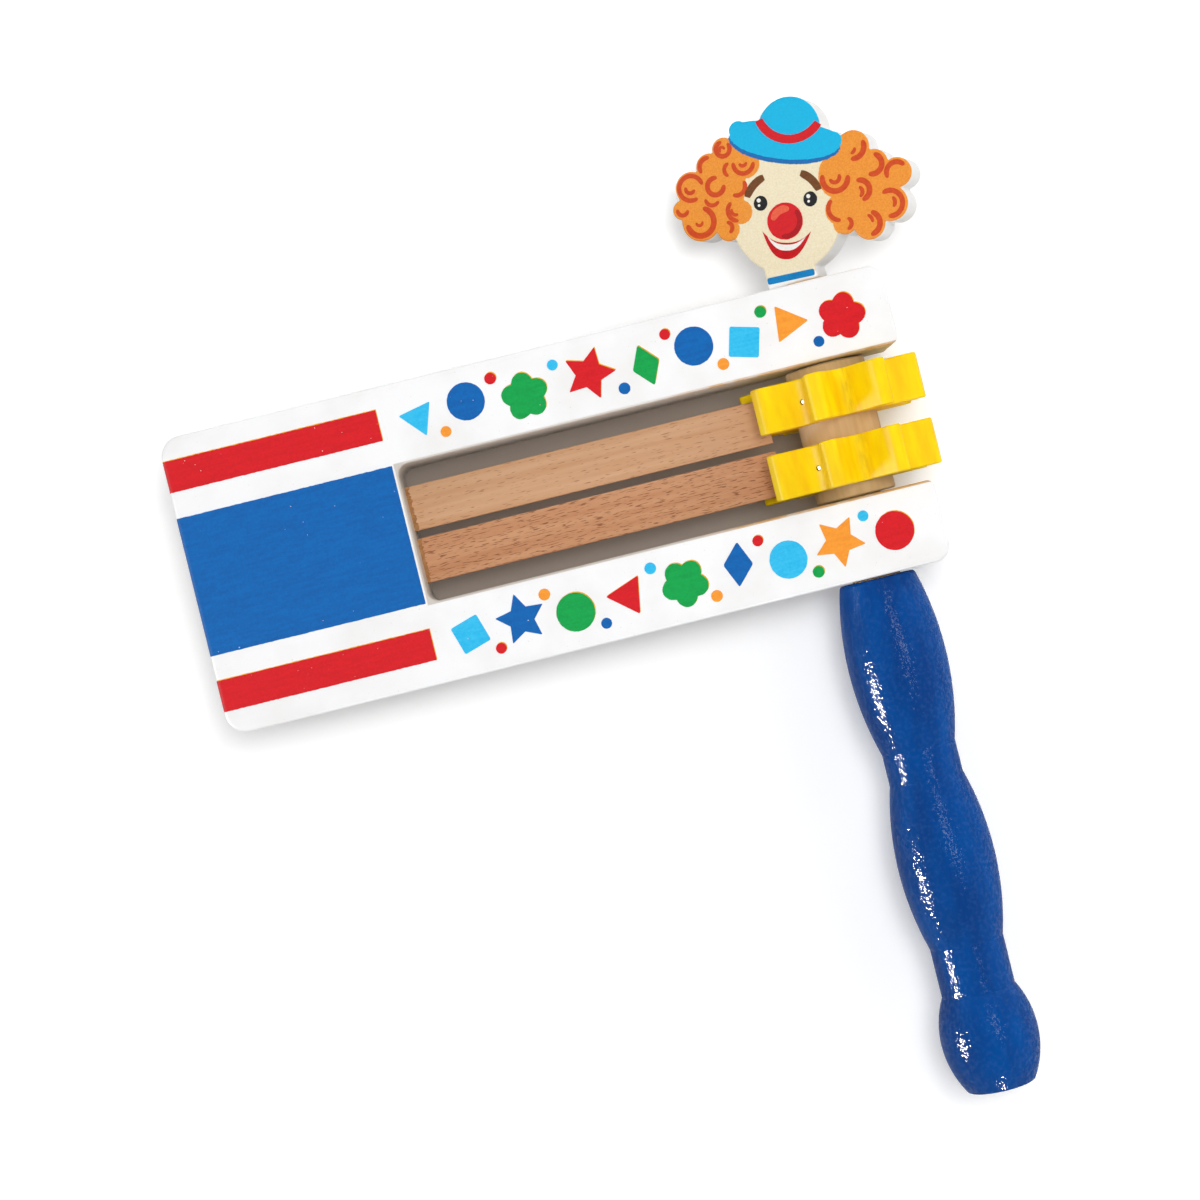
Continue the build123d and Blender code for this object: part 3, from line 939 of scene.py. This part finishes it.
@dataclass
class PrintedFrame:
    """White frame with its printed panel, bars and confetti."""

    layout: Layout
    edge_round: float = 0.9
    panel: Span = (-15.5, 15.7)
    upper_bar: Span = (21.5, 28.5)
    lower_bar: Span = (-28.1, -21.1)
    bar_length: float = 48.3
    # how far round the block's edge the bars go, in degrees, and how far their edges waver
    bar_wrap: float = 72.0
    bar_ragged: float = 0.045
    window_half: float = 15.5
    rub_length: float = 37.4
    # how far the yellow underprint is out of register
    fringe: float = 0.16
    # heights of the inks' tops above the paint
    panel_lift: float = 0.04
    under_lift: float = 0.025
    over_lift: float = 0.05
    upper_arm: tuple[Confetti, ...] = (
        (Motif.TRIANGLE, Ink.SKY, -90.6, 24.6, 4.4, 72),
        (Motif.DOT, Ink.BLUE, -79.6, 25.6, 4.2, 0),
        (Motif.FLOWER, Ink.GREEN, -66.6, 23.6, 5.3, 20),
        (Motif.STAR, Ink.RED, -51.8, 25.0, 6.0, 12),
        (Motif.DIAMOND, Ink.GREEN, -39.2, 23.8, 4.8, 100),
        (Motif.DOT, Ink.BLUE, -28.0, 25.4, 4.3, 0),
        (Motif.SQUARE, Ink.SKY, -17.0, 23.6, 4.7, 30),
        (Motif.TRIANGLE, Ink.ORANGE, -6.8, 25.4, 4.7, 24),
        (Motif.FLOWER, Ink.RED, 5.2, 24.0, 5.3, 0),
        (Motif.DOT, Ink.ORANGE, -85.4, 20.2, 1.2, 0),
        (Motif.DOT, Ink.RED, -73.2, 29.2, 1.3, 0),
        (Motif.DOT, Ink.SKY, -59.2, 28.8, 1.2, 0),
        (Motif.DOT, Ink.BLUE, -45.0, 20.0, 1.3, 0),
        (Motif.DOT, Ink.RED, -33.6, 29.4, 1.2, 0),
        (Motif.DOT, Ink.ORANGE, -22.6, 20.0, 1.3, 0),
        (Motif.DOT, Ink.GREEN, -12.0, 29.2, 1.3, 0),
        (Motif.DOT, Ink.BLUE, -1.0, 19.8, 1.2, 0),
    )
    lower_arm: tuple[Confetti, ...] = (
        (Motif.SQUARE, Ink.SKY, -90.8, -24.4, 4.6, 62),
        (Motif.STAR, Ink.BLUE, -79.2, -23.8, 5.8, 40),
        (Motif.DOT, Ink.GREEN, -67.2, -25.2, 4.3, 0),
        (Motif.TRIANGLE, Ink.RED, -55.2, -24.4, 4.9, 80),
        (Motif.FLOWER, Ink.GREEN, -42.4, -24.8, 5.3, 50),
        (Motif.DIAMOND, Ink.BLUE, -30.0, -23.6, 5.0, 80),
        (Motif.DOT, Ink.SKY, -19.0, -25.2, 4.2, 0),
        (Motif.STAR, Ink.ORANGE, -7.2, -24.0, 5.9, 0),
        (Motif.DOT, Ink.RED, 5.2, -24.6, 4.3, 0),
        (Motif.DOT, Ink.RED, -85.0, -29.0, 1.2, 0),
        (Motif.DOT, Ink.ORANGE, -73.0, -19.8, 1.3, 0),
        (Motif.DOT, Ink.BLUE, -61.2, -29.2, 1.2, 0),
        (Motif.DOT, Ink.SKY, -49.0, -19.8, 1.3, 0),
        (Motif.DOT, Ink.ORANGE, -36.2, -29.2, 1.3, 0),
        (Motif.DOT, Ink.RED, -24.6, -19.6, 1.2, 0),
        (Motif.DOT, Ink.GREEN, -13.2, -29.4, 1.3, 0),
        (Motif.DOT, Ink.SKY, -0.8, -19.8, 1.2, 0),
    )

    def build(self) -> None:
        """Paints the frame and prints on its face."""
        layout = self.layout
        rub_start = layout.axle.x - self.rub_length
        window = PaintedWindow(layout.axle.y, self.window_half, layout.block_face, rub_start, layout.high.z)
        layout.dress("frame", SprayedWhite("sprayed_white_paint", window).make())
        inks = {
            ink: PrintedInk(name + "_ink", ink, pinhole_level).make()
            for ink, name, pinhole_level in (
                (Ink.SKY, "sky_blue", 0.9),
                (Ink.BLUE, "blue", 0.9),
                (Ink.GREEN, "green", 0.9),
                (Ink.RED, "red", 0.87),
                (Ink.ORANGE, "orange", 0.9),
                (Ink.UNDERPRINT, "yellow_underprint", 0.9),
            )
        }
        panel_end = layout.block_face - self.edge_round
        bar_end = layout.low.x + self.bar_length
        self.print_bars("blue_panel", [self.panel], panel_end, 0.0, self.panel_lift, inks[Ink.BLUE])
        bars = [self.upper_bar, self.lower_bar]
        under = inks[Ink.UNDERPRINT]
        self.print_bars("red_bar_underprint", bars, bar_end, self.fringe, self.under_lift, under)
        self.print_bars("red_bars", bars, bar_end, 0.0, self.over_lift, inks[Ink.RED])
        self.print_confetti(inks)

    def print_bars(
        self, name: str, bars: list[Span], end: float, shift: float, lift: float, finish: Material
    ) -> None:
        """Prints bars that start over the rounded end of the block.

        Args:
            name: Name of the printed layer.
            bars: Lower and upper edge of each, from the middle of the frame.
            end: Place along the frame where they end.
            shift: How far the print is out of register, up and to the right.
            lift: Height of the ink above the paint.
            finish: Material of the ink.
        """
        mesh = bmesh.new()
        chance = random.Random(len(name))
        middle = self.layout.axle.y
        top = self.layout.high.z
        start = self.layout.low.x + self.edge_round
        for low, high in bars:
            below = mesh.verts.new((start, middle + low + shift, top + lift))
            above = mesh.verts.new((start, middle + high + shift, top + lift))
            edge = mesh.edges.new((below, above))
            bmesh.ops.spin(
                mesh,
                geom=[below, above, edge],
                cent=(start, 0, top - self.edge_round),
                axis=(0, -1, 0),
                angle=math.radians(self.bar_wrap),
                steps=8,
            )
            run = bmesh.ops.extrude_edge_only(mesh, edges=[edge])
            ahead = [v for v in run["geom"] if isinstance(v, bmesh.types.BMVert)]
            bmesh.ops.translate(mesh, vec=(end + shift - start, 0, 0), verts=ahead)
        cut_up(mesh, axis=0, longest=10, cuts=90)
        for vert in mesh.verts:
            vert.co.y += chance.uniform(-self.bar_ragged, self.bar_ragged)
        thicken(mesh)
        make_piece(name, mesh, finish, "frame")

    def print_confetti(self, inks: dict[Ink, Material]) -> None:
        """Prints the confetti on both arms, one layer for each ink, and the underprint of two of them.

        Args:
            inks: Material of each ink.
        """
        origin = Vector((self.layout.axle.x, self.layout.axle.y, self.layout.high.z)) * MM
        plane = Matrix.Translation(origin) @ TO_METRES
        layers = [
            (InkSheet(f"{ink.name.lower()}_confetti", plane, self.over_lift, seed=3), ink, (ink,), 0.0)
            for ink in (Ink.SKY, Ink.BLUE, Ink.GREEN, Ink.RED, Ink.ORANGE)
        ]
        under = InkSheet("red_confetti_underprint", plane, self.under_lift, seed=4)
        layers.append((under, Ink.UNDERPRINT, (Ink.RED, Ink.GREEN), self.fringe))
        for sheet, ink, colours, shift in layers:
            for motif, colour, x, y, radius, turn in self.upper_arm + self.lower_arm:
                if colour in colours:
                    self.draw_motif(sheet, motif, x + shift, y + shift, radius, turn)
            sheet.lay(inks[ink], "frame", "white_painted_wood")

    def draw_motif(
        self, sheet: InkSheet, motif: Motif, x: float, y: float, radius: float, turn: float
    ) -> None:
        """Draws one piece of confetti.

        Args:
            sheet: Sheet that it is drawn on.
            motif: Its shape.
            x: Place along the frame.
            y: Place across it.
            radius: Radius of the shape.
            turn: Turn in degrees.
        """
        if motif is Motif.DOT:
            sheet.oval(x, y, radius)
        elif motif is Motif.FLOWER:
            sheet.oval(x, y, radius, turn=turn, lobes=5)
        elif motif is Motif.STAR:
            sheet.star(x, y, radius, points=5, turn=turn)
        elif motif is Motif.DIAMOND:
            sheet.polygon(x, y, radius, sides=4, stretch=0.66, turn=turn)
        elif motif is Motif.SQUARE:
            sheet.polygon(x, y, radius, sides=4, turn=turn)
        else:
            sheet.polygon(x, y, radius, sides=3, turn=turn)


@dataclass
class SpringSlats:
    """The two beech strips, each one piece from the block to its free end."""

    layout: Layout
    arris: float = 0.22
    bend_start: float = 0.0
    bend_end: float = 90.0
    bead_width: float = 0.9
    bead_height: float = 0.55
    # how much shorter than the strip's width the bead is
    bead_short: float = 0.3
    # how far the bead's front edge runs back and out, and its height there
    bead_ragged: Span = (-0.25, 0.35)
    bead_lip: float = 0.06
    # how far the bead is sunk into the block and into the strip
    bead_in_block: float = 0.05
    bead_in_strip: float = 0.03

    def build(self) -> None:
        """Makes both strips and the glue at their roots."""
        root = self.layout.block_face
        upper = SawnBeech("pale_sawn_beech", "d9ac86", "cd9b72", "9f6a45", 0.635, root - 0.9).make()
        lower = SawnBeech("pink_sawn_beech", "d29d75", "c58a62", "8d5535", 0.575, root - 1.1).make()
        glue = HideGlue("amber_wood_glue").make()
        for place, finish, seed in (("upper", upper, 5), ("lower", lower, 8)):
            self.make_strip(place, finish)
            self.make_beads(place, glue, seed)

    def make_strip(self, place: str, finish: Material) -> None:
        """Makes one strip over its fixed tail and its free end.

        Args:
            place: Upper or lower.
            finish: Its beech.
        """
        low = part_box(place + "_slat_tail")[0] / MM
        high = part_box(place + "_slat")[1] / MM
        middle = (low + high) / 2
        mesh = bmesh.new()
        bmesh.ops.create_cube(mesh, size=1.0)
        bmesh.ops.scale(mesh, vec=high - low, verts=mesh.verts[:])
        long_edges = [e for e in mesh.edges if abs(e.verts[0].co.x - e.verts[1].co.x) > 10]
        round_off(mesh, long_edges, self.arris, 2, affect="EDGES")
        cut_up(mesh, axis=0, longest=10, cuts=99)
        bmesh.ops.translate(mesh, vec=middle, verts=mesh.verts[:])
        strip = make_piece(place + "_beech_slat", mesh, finish, None)
        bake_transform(strip)
        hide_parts(place + "_slat", place + "_slat_tail")

    def make_beads(self, place: str, finish: Material, seed: int) -> None:
        """Lays a bead of glue along the strip's root, over and under it.

        Args:
            place: Upper or lower.
            finish: The glue.
            seed: Seed of the beads' ragged edges.
        """
        low, high = (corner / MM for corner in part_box(place + "_slat_tail"))
        chance = random.Random(seed)
        mesh = bmesh.new()
        for side, level in ((1, high.z), (-1, low.z)):
            start = len(mesh.verts)
            bmesh.ops.create_cube(mesh, size=1.0)
            mesh.verts.ensure_lookup_table()
            size = (self.bead_width, high.y - low.y - self.bead_short, self.bead_height)
            bmesh.ops.scale(mesh, vec=size, verts=mesh.verts[start:])
            cut_up(mesh, axis=1, longest=5, cuts=26)
            mesh.verts.ensure_lookup_table()
            fresh = mesh.verts[start:]
            reach = {}
            for vert in fresh:
                if vert.co.x > 0:
                    key = round(vert.co.y, 3)
                    if key not in reach:
                        reach[key] = chance.uniform(*self.bead_ragged)
                    vert.co.x += reach[key]
                    if vert.co.z * side > 0:
                        vert.co.z = side * (self.bead_lip - self.bead_height / 2)
            root = (
                self.layout.block_face + self.bead_width / 2 - self.bead_in_block,
                (low.y + high.y) / 2,
                level + side * (self.bead_height / 2 - self.bead_in_strip),
            )
            bmesh.ops.translate(mesh, vec=root, verts=fresh)
        make_piece(place + "_slat_glue", mesh, finish, "frame")


@dataclass
class RatchetWheels:
    """Yellow wheels, their brads, and the barrel and axle that carry them."""

    layout: Layout

    def build(self) -> None:
        """Dresses the CAD nodes, whose shapes are right."""
        yellow = DippedYellow("dipped_yellow_paint", tuple(self.layout.axle)).make()
        dowel = BareDowel("bare_hardwood_dowel").make()
        for place in ("upper", "lower"):
            self.layout.dress(place + "_gear", yellow)
            low, high = (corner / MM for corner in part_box(place + "_gear_brad"))
            centre = (low + high) / 2
            along = centre - Vector((self.layout.axle.x, centre.y, self.layout.axle.z))
            steel = DrawnSteel(f"drawn_steel_{place}_brad", tuple(centre), tuple(along.normalized()))
            self.layout.dress(place + "_gear_brad", steel.make())
        for node in ("gear_barrel", "axle", "head_peg"):
            self.layout.dress(node, dowel)


@dataclass
class TurnedHandle:
    """Blue lacquered handle."""

    layout: Layout

    def build(self) -> None:
        """Dresses the CAD node, whose shape is right."""
        self.layout.dress("handle", BlueLacquer("blue_lacquer_on_turned_wood").make())


@dataclass(frozen=True)
class HeadPrint:
    """One printed layer of the head."""

    name: str
    finish: str
    ink: Ink
    pinhole_level: float
    lift: float
    seed: int
    # each shape: the method of the sheet that draws it, and what it is given
    shapes: tuple[tuple[Callable[..., None], tuple[float, ...]], ...]

    def lay(self, plane: Matrix) -> None:
        """Draws the shapes and lays them on the head.

        Args:
            plane: Place of the drawing, from millimetres to metres.
        """
        sheet = InkSheet(self.name, plane, self.lift, self.seed)
        for draw, numbers in self.shapes:
            draw(sheet, *numbers)
        sheet.lay(PrintedInk(self.finish, self.ink, self.pinhole_level).make(), "crank", "head_board")


@dataclass
class ClownHead:
    """Cut-out board with a printed clown's face, hat and hair."""

    layout: Layout
    turn: float = 20.0
    lean: float = 13.6
    thickness: float = 9.5
    face_offset: float = 0.9
    face_height: float = 15.8
    hat_droop: float = 7.5
    # how far the ink goes past the edges of the shapes
    bleed: float = 0.12
    # how much wider than they are listed the lines in the hair are, and their width at the ends
    curl_weight: float = 1.15
    curl_tail: float = 0.3
    eyes: tuple[Span, ...] = ((-5.76, 2.87), (5.69, 3.4))
    # place in the eye and radius of each glint
    glints: tuple[Triple, ...] = ((-0.42, 0.62, 0.46), (-0.34, -0.5, 0.3))
    nose: Span = (-0.15, -1.28)
    # x, y, radius of each curl of the outline
    curls: tuple[Triple, ...] = (
        (15.4, 14.4, 3.7),
        (20.1, 10.6, 3.2),
        (25.3, 8.5, 3.3),
        (22.6, 6.2, 2.4),
        (23.8, 1.8, 3.9),
        (19.0, -2.4, 3.6),
        (13.5, -2.2, 2.5),
        (-14.4, 15.2, 2.6),
        (-17.8, 11.4, 3.0),
        (-22.0, 6.8, 3.7),
        (-24.2, 2.0, 2.2),
        (-19.8, -0.6, 4.5),
        (-13.4, -2.7, 2.6),
    )
    # x, y, radius, start, sweep, width of each line in the hair
    curl_lines: tuple[tuple[float, float, float, float, float, float], ...] = (
        (15.4, 14.4, 2.6, 262, 130, 1.1),
        (14.9, 14.0, 1.0, 275, 100, 0.7),
        (19.8, 10.5, 2.2, 250, 190, 1.1),
        (25.3, 8.5, 2.25, 40, 170, 1.0),
        (23.8, 1.8, 2.8, 262, 225, 1.0),
        (23.5, 2.0, 1.4, 315, 100, 0.8),
        (19.0, -2.4, 2.5, 280, 160, 1.1),
        (18.4, -2.0, 1.4, 350, 90, 0.7),
        (13.8, -2.3, 1.25, 285, 150, 0.85),
        (11.4, 7.8, 2.9, 165, 205, 1.1),
        (11.3, 7.9, 1.1, 195, 200, 0.8),
        (17.0, 4.9, 2.2, 285, 185, 1.1),
        (16.5, 4.5, 1.1, 295, 140, 0.8),
        (12.4, 1.1, 2.6, 135, 140, 0.9),
        (-14.4, 15.2, 1.6, 100, 310, 0.9),
        (-14.6, 15.1, 0.55, 0, 250, 0.6),
        (-17.8, 11.4, 2.05, 85, 135, 0.9),
        (-22.0, 6.8, 2.75, 15, 290, 0.9),
        (-22.2, 6.7, 1.0, 160, 190, 0.8),
        (-24.0, 2.0, 1.2, 170, 190, 0.8),
        (-19.8, -0.8, 3.1, 190, 250, 1.15),
        (-20.1, -0.9, 0.7, 180, 200, 0.6),
        (-13.6, -2.3, 1.2, 295, 160, 0.85),
        (-9.7, 11.9, 2.3, 175, 190, 0.9),
        (-9.8, 12.1, 0.8, 195, 165, 0.7),
        (-12.6, 10.6, 1.5, 110, 140, 0.8),
        (-16.2, 7.0, 1.9, 80, 290, 1.0),
        (-17.0, 4.4, 1.6, 185, 150, 0.8),
        (-11.3, 6.8, 2.0, 245, 150, 0.9),
        (-11.1, 1.5, 2.3, 130, 145, 0.9),
        (-11.6, 1.4, 0.9, 150, 160, 0.7),
    )

    def axes(self) -> tuple[Vector, Vector, Vector, Vector]:
        """Places the drawing on the board's front.

        Returns:
            Middle of the face, then the directions across, up and out of the leaning print.
        """
        turn = math.radians(self.turn)
        lean = math.radians(-self.lean)
        board_across = Vector((math.cos(turn), 0, math.sin(turn)))
        out = Vector((-math.sin(turn), 0, math.cos(turn)))
        board_up = Vector((0, 1, 0))
        foot = Vector((self.layout.axle.x, self.layout.high.y, self.layout.axle.z))
        middle = foot + self.face_offset * board_across + self.face_height * board_up
        middle += self.thickness / 2 * out
        across = math.cos(lean) * board_across + math.sin(lean) * board_up
        up = math.cos(lean) * board_up - math.sin(lean) * board_across
        return middle, across, up, out

    def build(self) -> None:
        """Prints the head's zones and its features."""
        middle, across, up, out = self.axes()
        places = (tuple(place) for place in (middle, across, up, out))
        self.layout.dress("clown_head", PrintedHead("printed_white_board", *places, self.zones()).make())
        turned = Matrix((across, up, out)).transposed().to_4x4()
        plane = Matrix.Translation(middle * MM) @ turned @ TO_METRES
        for layer in self.prints():
            layer.lay(plane)

    def zones(self) -> tuple[tuple[Ink, tuple[Oval, ...]], ...]:
        """Lists the zones of the print, from the first ink laid to the last.

        Returns:
            Ink and ovals of each zone.
        """
        b = self.bleed
        droop = -self.hat_droop
        neck = Oval(1.1, -10.7, 9.0, 3.6, self.lean)
        face = Oval(0, 0, 12.7 + b, 12.9 + b)
        hair = [Oval(x, y, r + b, r + b) for x, y, r in self.curls]
        hair += [Oval(side * 15.3, 4.6, 7.6 + b, 7.0 + b) for side in (-1, 1)]
        hair.append(Oval(0, 9.5, 17.4 + b, 8.3 + b))
        opening = Oval(0.4, 4.0, 10.0, 15.0)
        locks = (
            Oval(11.6, 8.4, 4.0, 5.0),
            Oval(12.2, 0.8, 3.1, 3.3),
            Oval(-9.1, 11.7, 3.2, 3.2),
            Oval(-12.0, 6.3, 3.0, 3.0),
            Oval(-10.4, 1.1, 2.7, 2.7),
        )
        brim = Oval(-0.2, 16.2, 12.9 + b, 4.7 + b, droop)
        brim_top = Oval(-0.1, 16.8, 12.8 + b, 4.3 + b, droop)
        tips = (Oval(-10.9, 19.2, 2.1 + b, 2.1 + b), Oval(10.9, 16.0, 2.0 + b, 2.0 + b))
        brim_rise = Oval(0, 17.8, 13.0 + b, 3.0 + b, droop)
        crown = Oval(0.8, 19.2, 7.25 + b, 6.95 + b, droop)
        return (
            (Ink.SKIN, (face, neck)),
            (Ink.HAIR, tuple(hair)),
            (Ink.SKIN, (opening,)),
            (Ink.HAIR, locks),
            (Ink.HAT, (crown,)),
            (Ink.BRIM, (brim,)),
            (Ink.HAT, (brim_top, brim_rise) + tips),
        )

    def prints(self) -> tuple[HeadPrint, ...]:
        """Lists the layers that are printed over the zones, from the hair to the nose.

        Returns:
            The layers.
        """
        oval, bar, crescent, stroke = InkSheet.oval, InkSheet.bar, InkSheet.crescent, InkSheet.stroke
        curls = tuple(
            (stroke, (x, y, radius, start, sweep, width * self.curl_weight, self.curl_tail))
            for x, y, radius, start, sweep, width in self.curl_lines
        )
        band = (stroke, (1.22, 24.61, 7.9, 205, 120, 1.95, 0.9))
        collar = (bar, (1.06, -13.62, 11.0, 1.5, 10.2))
        left_brow = (stroke, (-2.2, 2.15, 7.0, 113, 49, 1.8, 0.7))
        right_brow = (stroke, (1.25, 2.56, 7.0, 23, 48, 1.8, 0.7))
        eyes = tuple((oval, (x, y, 1.57, 1.06)) for x, y in self.eyes)
        glints = tuple((oval, (x + dx, y + dy, r)) for x, y in self.eyes for dx, dy, r in self.glints)
        mouth = (crescent, (0.18, -3.61, 5.57, 2.5, 6.07, -2.0))
        teeth = (crescent, (0.15, -4.7, 4.4, 1.85, 3.07, -2.3))
        nose = (oval, (*self.nose, 4.1))
        shade = (stroke, (*self.nose, 3.35, 255, 150, 1.1, 0.1))
        shine = (stroke, (*self.nose, 2.7, 70, 105, 1.7, 0.3))
        return (
            HeadPrint("hair_curls", "burnt_orange_ink", Ink.CURL, 0.92, 0.04, 11, curls),
            HeadPrint("hat_band", "hat_red_ink", Ink.RED, 0.92, 0.04, 12, (band,)),
            HeadPrint("collar_bar", "collar_blue_ink", Ink.COLLAR, 0.92, 0.04, 13, (collar,)),
            HeadPrint("face_brows", "brow_brown_ink", Ink.BROW, 0.95, 0.04, 21, (left_brow, right_brow)),
            HeadPrint("face_eyes", "eye_black_ink", Ink.BLACK, 0.95, 0.04, 22, eyes),
            HeadPrint("face_eye_glints", "glint_white_ink", Ink.WHITE, 0.95, 0.055, 23, glints),
            HeadPrint("face_mouth", "lip_red_ink", Ink.LIP, 0.95, 0.04, 24, (mouth,)),
            HeadPrint("face_teeth", "teeth_white_ink", Ink.WHITE, 0.95, 0.055, 25, (teeth,)),
            HeadPrint("face_nose", "nose_red_ink", Ink.NOSE, 0.95, 0.06, 26, (nose,)),
            HeadPrint("face_nose_shade", "nose_shade_ink", Ink.NOSE_SHADE, 0.95, 0.075, 27, (shade,)),
            HeadPrint("face_nose_shine", "nose_shine_ink", Ink.NOSE_SHINE, 0.95, 0.075, 28, (shine,)),
        )


@dataclass(frozen=True)
class Softbox:
    """A lamp with a rectangular screen that looks at the toy."""

    name: str
    direction: Triple
    distance: float
    width: float
    height: float
    watts: float
    lights_matt: bool = True
    lights_gloss: bool = True

    def hang(self, target: Vector) -> None:
        """Hangs the lamp.

        Args:
            target: Point that it looks at.
        """
        lamp = bpy.data.lights.new(self.name, "AREA")
        lamp.shape = "RECTANGLE"
        lamp.size = self.width
        lamp.size_y = self.height
        lamp.energy = self.watts
        holder = bpy.data.objects.new(self.name, lamp)
        away = Vector(self.direction).normalized()
        holder.location = target + away * self.distance
        holder.rotation_euler = away.to_track_quat("Z", "Y").to_euler()
        holder.visible_diffuse = self.lights_matt
        holder.visible_glossy = self.lights_gloss
        bpy.context.scene.collection.objects.link(holder)
        log.info("lamp %s", self.name)


@dataclass
class Studio:
    """Pale floor, white room and soft lamps."""

    layout: Layout
    # point that the lamps look at, in metres
    target: Triple = (0.0, 0.0, 0.02)
    floor_size: float = 3.0
    floor_level: float = -0.0001
    floor_gain: float = 1.17
    # how far inside the frame's outline the painted shadow on the floor reaches its full depth, in
    # millimetres
    painted_shadow_depth: float = 14.0
    walls: float = 1.1
    ceiling: float = 0.32
    lamps: tuple[Softbox, ...] = (
        # light the toy from above and from the right, and leave no glare on it
        Softbox("overhead_softbox", (0.1, 0.1, 0.99), 1.1, 0.36, 0.36, 5.1, lights_gloss=False),
        Softbox("right_softbox", (0.8, 0.42, 0.42), 1.2, 0.4, 0.4, 1.8, lights_gloss=False),
        # give the gloss its streaks, and no light or shadow of their own
        Softbox("left_striplight", (-0.94, -0.25, 0.24), 1.2, 0.22, 0.14, 46.0, lights_matt=False),
        Softbox("overhead_sheen", (0.28, 0.1, 0.94), 1.2, 0.7, 0.16, 3.0, lights_matt=False),
        Softbox("butt_spark", (0.05, -0.93, 0.3), 1.0, 0.08, 0.08, 10.0, lights_matt=False),
    )

    def build(self) -> None:
        """Builds the floor, the world and the lamps."""
        self.make_floor()
        self.make_room()
        for lamp in self.lamps:
            lamp.hang(Vector(self.target))

    def make_floor(self) -> None:
        """Lays the floor, which is white to the camera, keeps the shadow, and has a warm painted shadow
        under the frame's window.
        """
        mesh = bmesh.new()
        bmesh.ops.create_grid(mesh, x_segments=1, y_segments=1, size=self.floor_size / 2)
        bmesh.ops.translate(mesh, vec=(0, 0, self.floor_level), verts=mesh.verts[:])
        data = bpy.data.meshes.new("floor")
        mesh.to_mesh(data)
        mesh.free()
        material = bpy.data.materials.new("matt_white_floor")
        material.use_nodes = True
        tree = material.node_tree
        tree.nodes.clear()
        white = (self.floor_gain, self.floor_gain, self.floor_gain, 1)
        # painted shadow: the floor seen under the frame's window turns warm grey, standing in for the toy's
        # shade and the light bounced off the wood
        shown_with_painted_shadow = add_node(tree, "Mix", {0: self.unshadowed_share(tree), 6: "bcaea2", 7: white}, data_type="RGBA")
        # grey to the light that bounces, so that less of it creeps under the toy
        tone = add_node(tree, "Mix", {0: self.seen(tree), 6: "c6c4c2", 7: shown_with_painted_shadow}, data_type="RGBA")
        paper = add_node(tree, "BsdfDiffuse", {"Color": tone})
        add_node(tree, "OutputMaterial", {"Surface": paper})
        data.materials.append(material)
        floor = bpy.data.objects.new("floor", data)
        bpy.context.scene.collection.objects.link(floor)

    def unshadowed_share(self, tree: Tree) -> Node:
        """One on the floor around the frame, and less towards the middle of its window, where the floor
        gets its painted shadow.

        Args:
            tree: The floor's node tree.

        Returns:
            The share.
        """
        middle = (self.layout.low + self.layout.high) / 2
        half = (self.layout.high - self.layout.low) / 2
        off = add_node(tree, "VectorMath", {0: millimetres(tree), 1: middle}, operation="SUBTRACT")
        size = add_node(tree, "VectorMath", {0: off}, operation="ABSOLUTE")
        past = add_node(tree, "VectorMath", {0: size, 1: half}, operation="SUBTRACT")
        axes = add_node(tree, "SeparateXYZ", {0: past})
        furthest = add_node(tree, "Math", {0: axes.outputs["X"], 1: axes.outputs["Y"]}, operation="MAXIMUM")
        inner = -self.painted_shadow_depth
        return add_node(tree, "MapRange", {"Value": furthest, "From Min": inner, "From Max": 0.0})

    def seen(self, tree: Tree) -> Node:
        """One for rays that show the background, straight or in a reflection.

        Args:
            tree: The floor's node tree.

        Returns:
            The mask.
        """
        path = add_node(tree, "LightPath")
        mask = path.outputs["Is Camera Ray"]
        for name in ("Is Glossy Ray", "Is Transmission Ray"):
            mask = add_node(tree, "Math", {0: mask, 1: path.outputs[name]}, operation="MAXIMUM")
        return mask

    def make_room(self) -> None:
        """Makes the world a white room that lights the object softly."""
        world = bpy.data.worlds.new("white_room")
        world.use_nodes = True
        bpy.context.scene.world = world
        tree = world.node_tree
        tree.nodes.clear()
        way = add_node(tree, "TexCoord")
        height = add_node(tree, "SeparateXYZ", {0: way.outputs["Generated"]})
        strength = add_node(
            tree, "MapRange", {"Value": height.outputs["Z"], "To Min": self.walls, "To Max": self.ceiling}
        )
        room = add_node(tree, "Background", {"Color": (1, 1, 1, 1), "Strength": strength})
        add_node(tree, "OutputWorld", {"Surface": room})


@dataclass
class PhotoCamera:
    """Camera straight above the toy, turned as the photograph is."""

    layout: Layout
    left_of_axle: float = 61.4
    below_middle: float = 23.9
    above_face: float = 616.0
    roll: float = -13.87
    lens: float = 84.0
    sensor_width: float = 36.0
    clip_start: float = 0.01

    def build(self) -> None:
        """Makes the camera and gives it to the scene."""
        data = bpy.data.cameras.new("photo_camera")
        data.lens = self.lens
        data.sensor_width = self.sensor_width
        data.clip_start = self.clip_start
        camera = bpy.data.objects.new("photo_camera", data)
        axle = self.layout.axle
        height = self.layout.high.z + self.above_face
        camera.location = Vector((axle.x - self.left_of_axle, axle.y - self.below_middle, height)) * MM
        camera.rotation_euler = (0, 0, math.radians(self.roll))
        bpy.context.scene.collection.objects.link(camera)
        bpy.context.scene.camera = camera


def main() -> None:
    """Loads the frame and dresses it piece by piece."""
    logging.basicConfig(level=logging.INFO, format="%(name)s: %(message)s")
    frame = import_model()
    bpy.context.scene.view_settings.view_transform = "Standard"
    layout = Layout(frame)
    for assembly in (
        PhotoCamera(layout),
        Studio(layout),
        PrintedFrame(layout),
        SpringSlats(layout),
        RatchetWheels(layout),
        TurnedHandle(layout),
        ClownHead(layout),
    ):
        assembly.build()
        log.info("%s is in place", type(assembly).__name__)


if __name__ == "__main__":
    main()
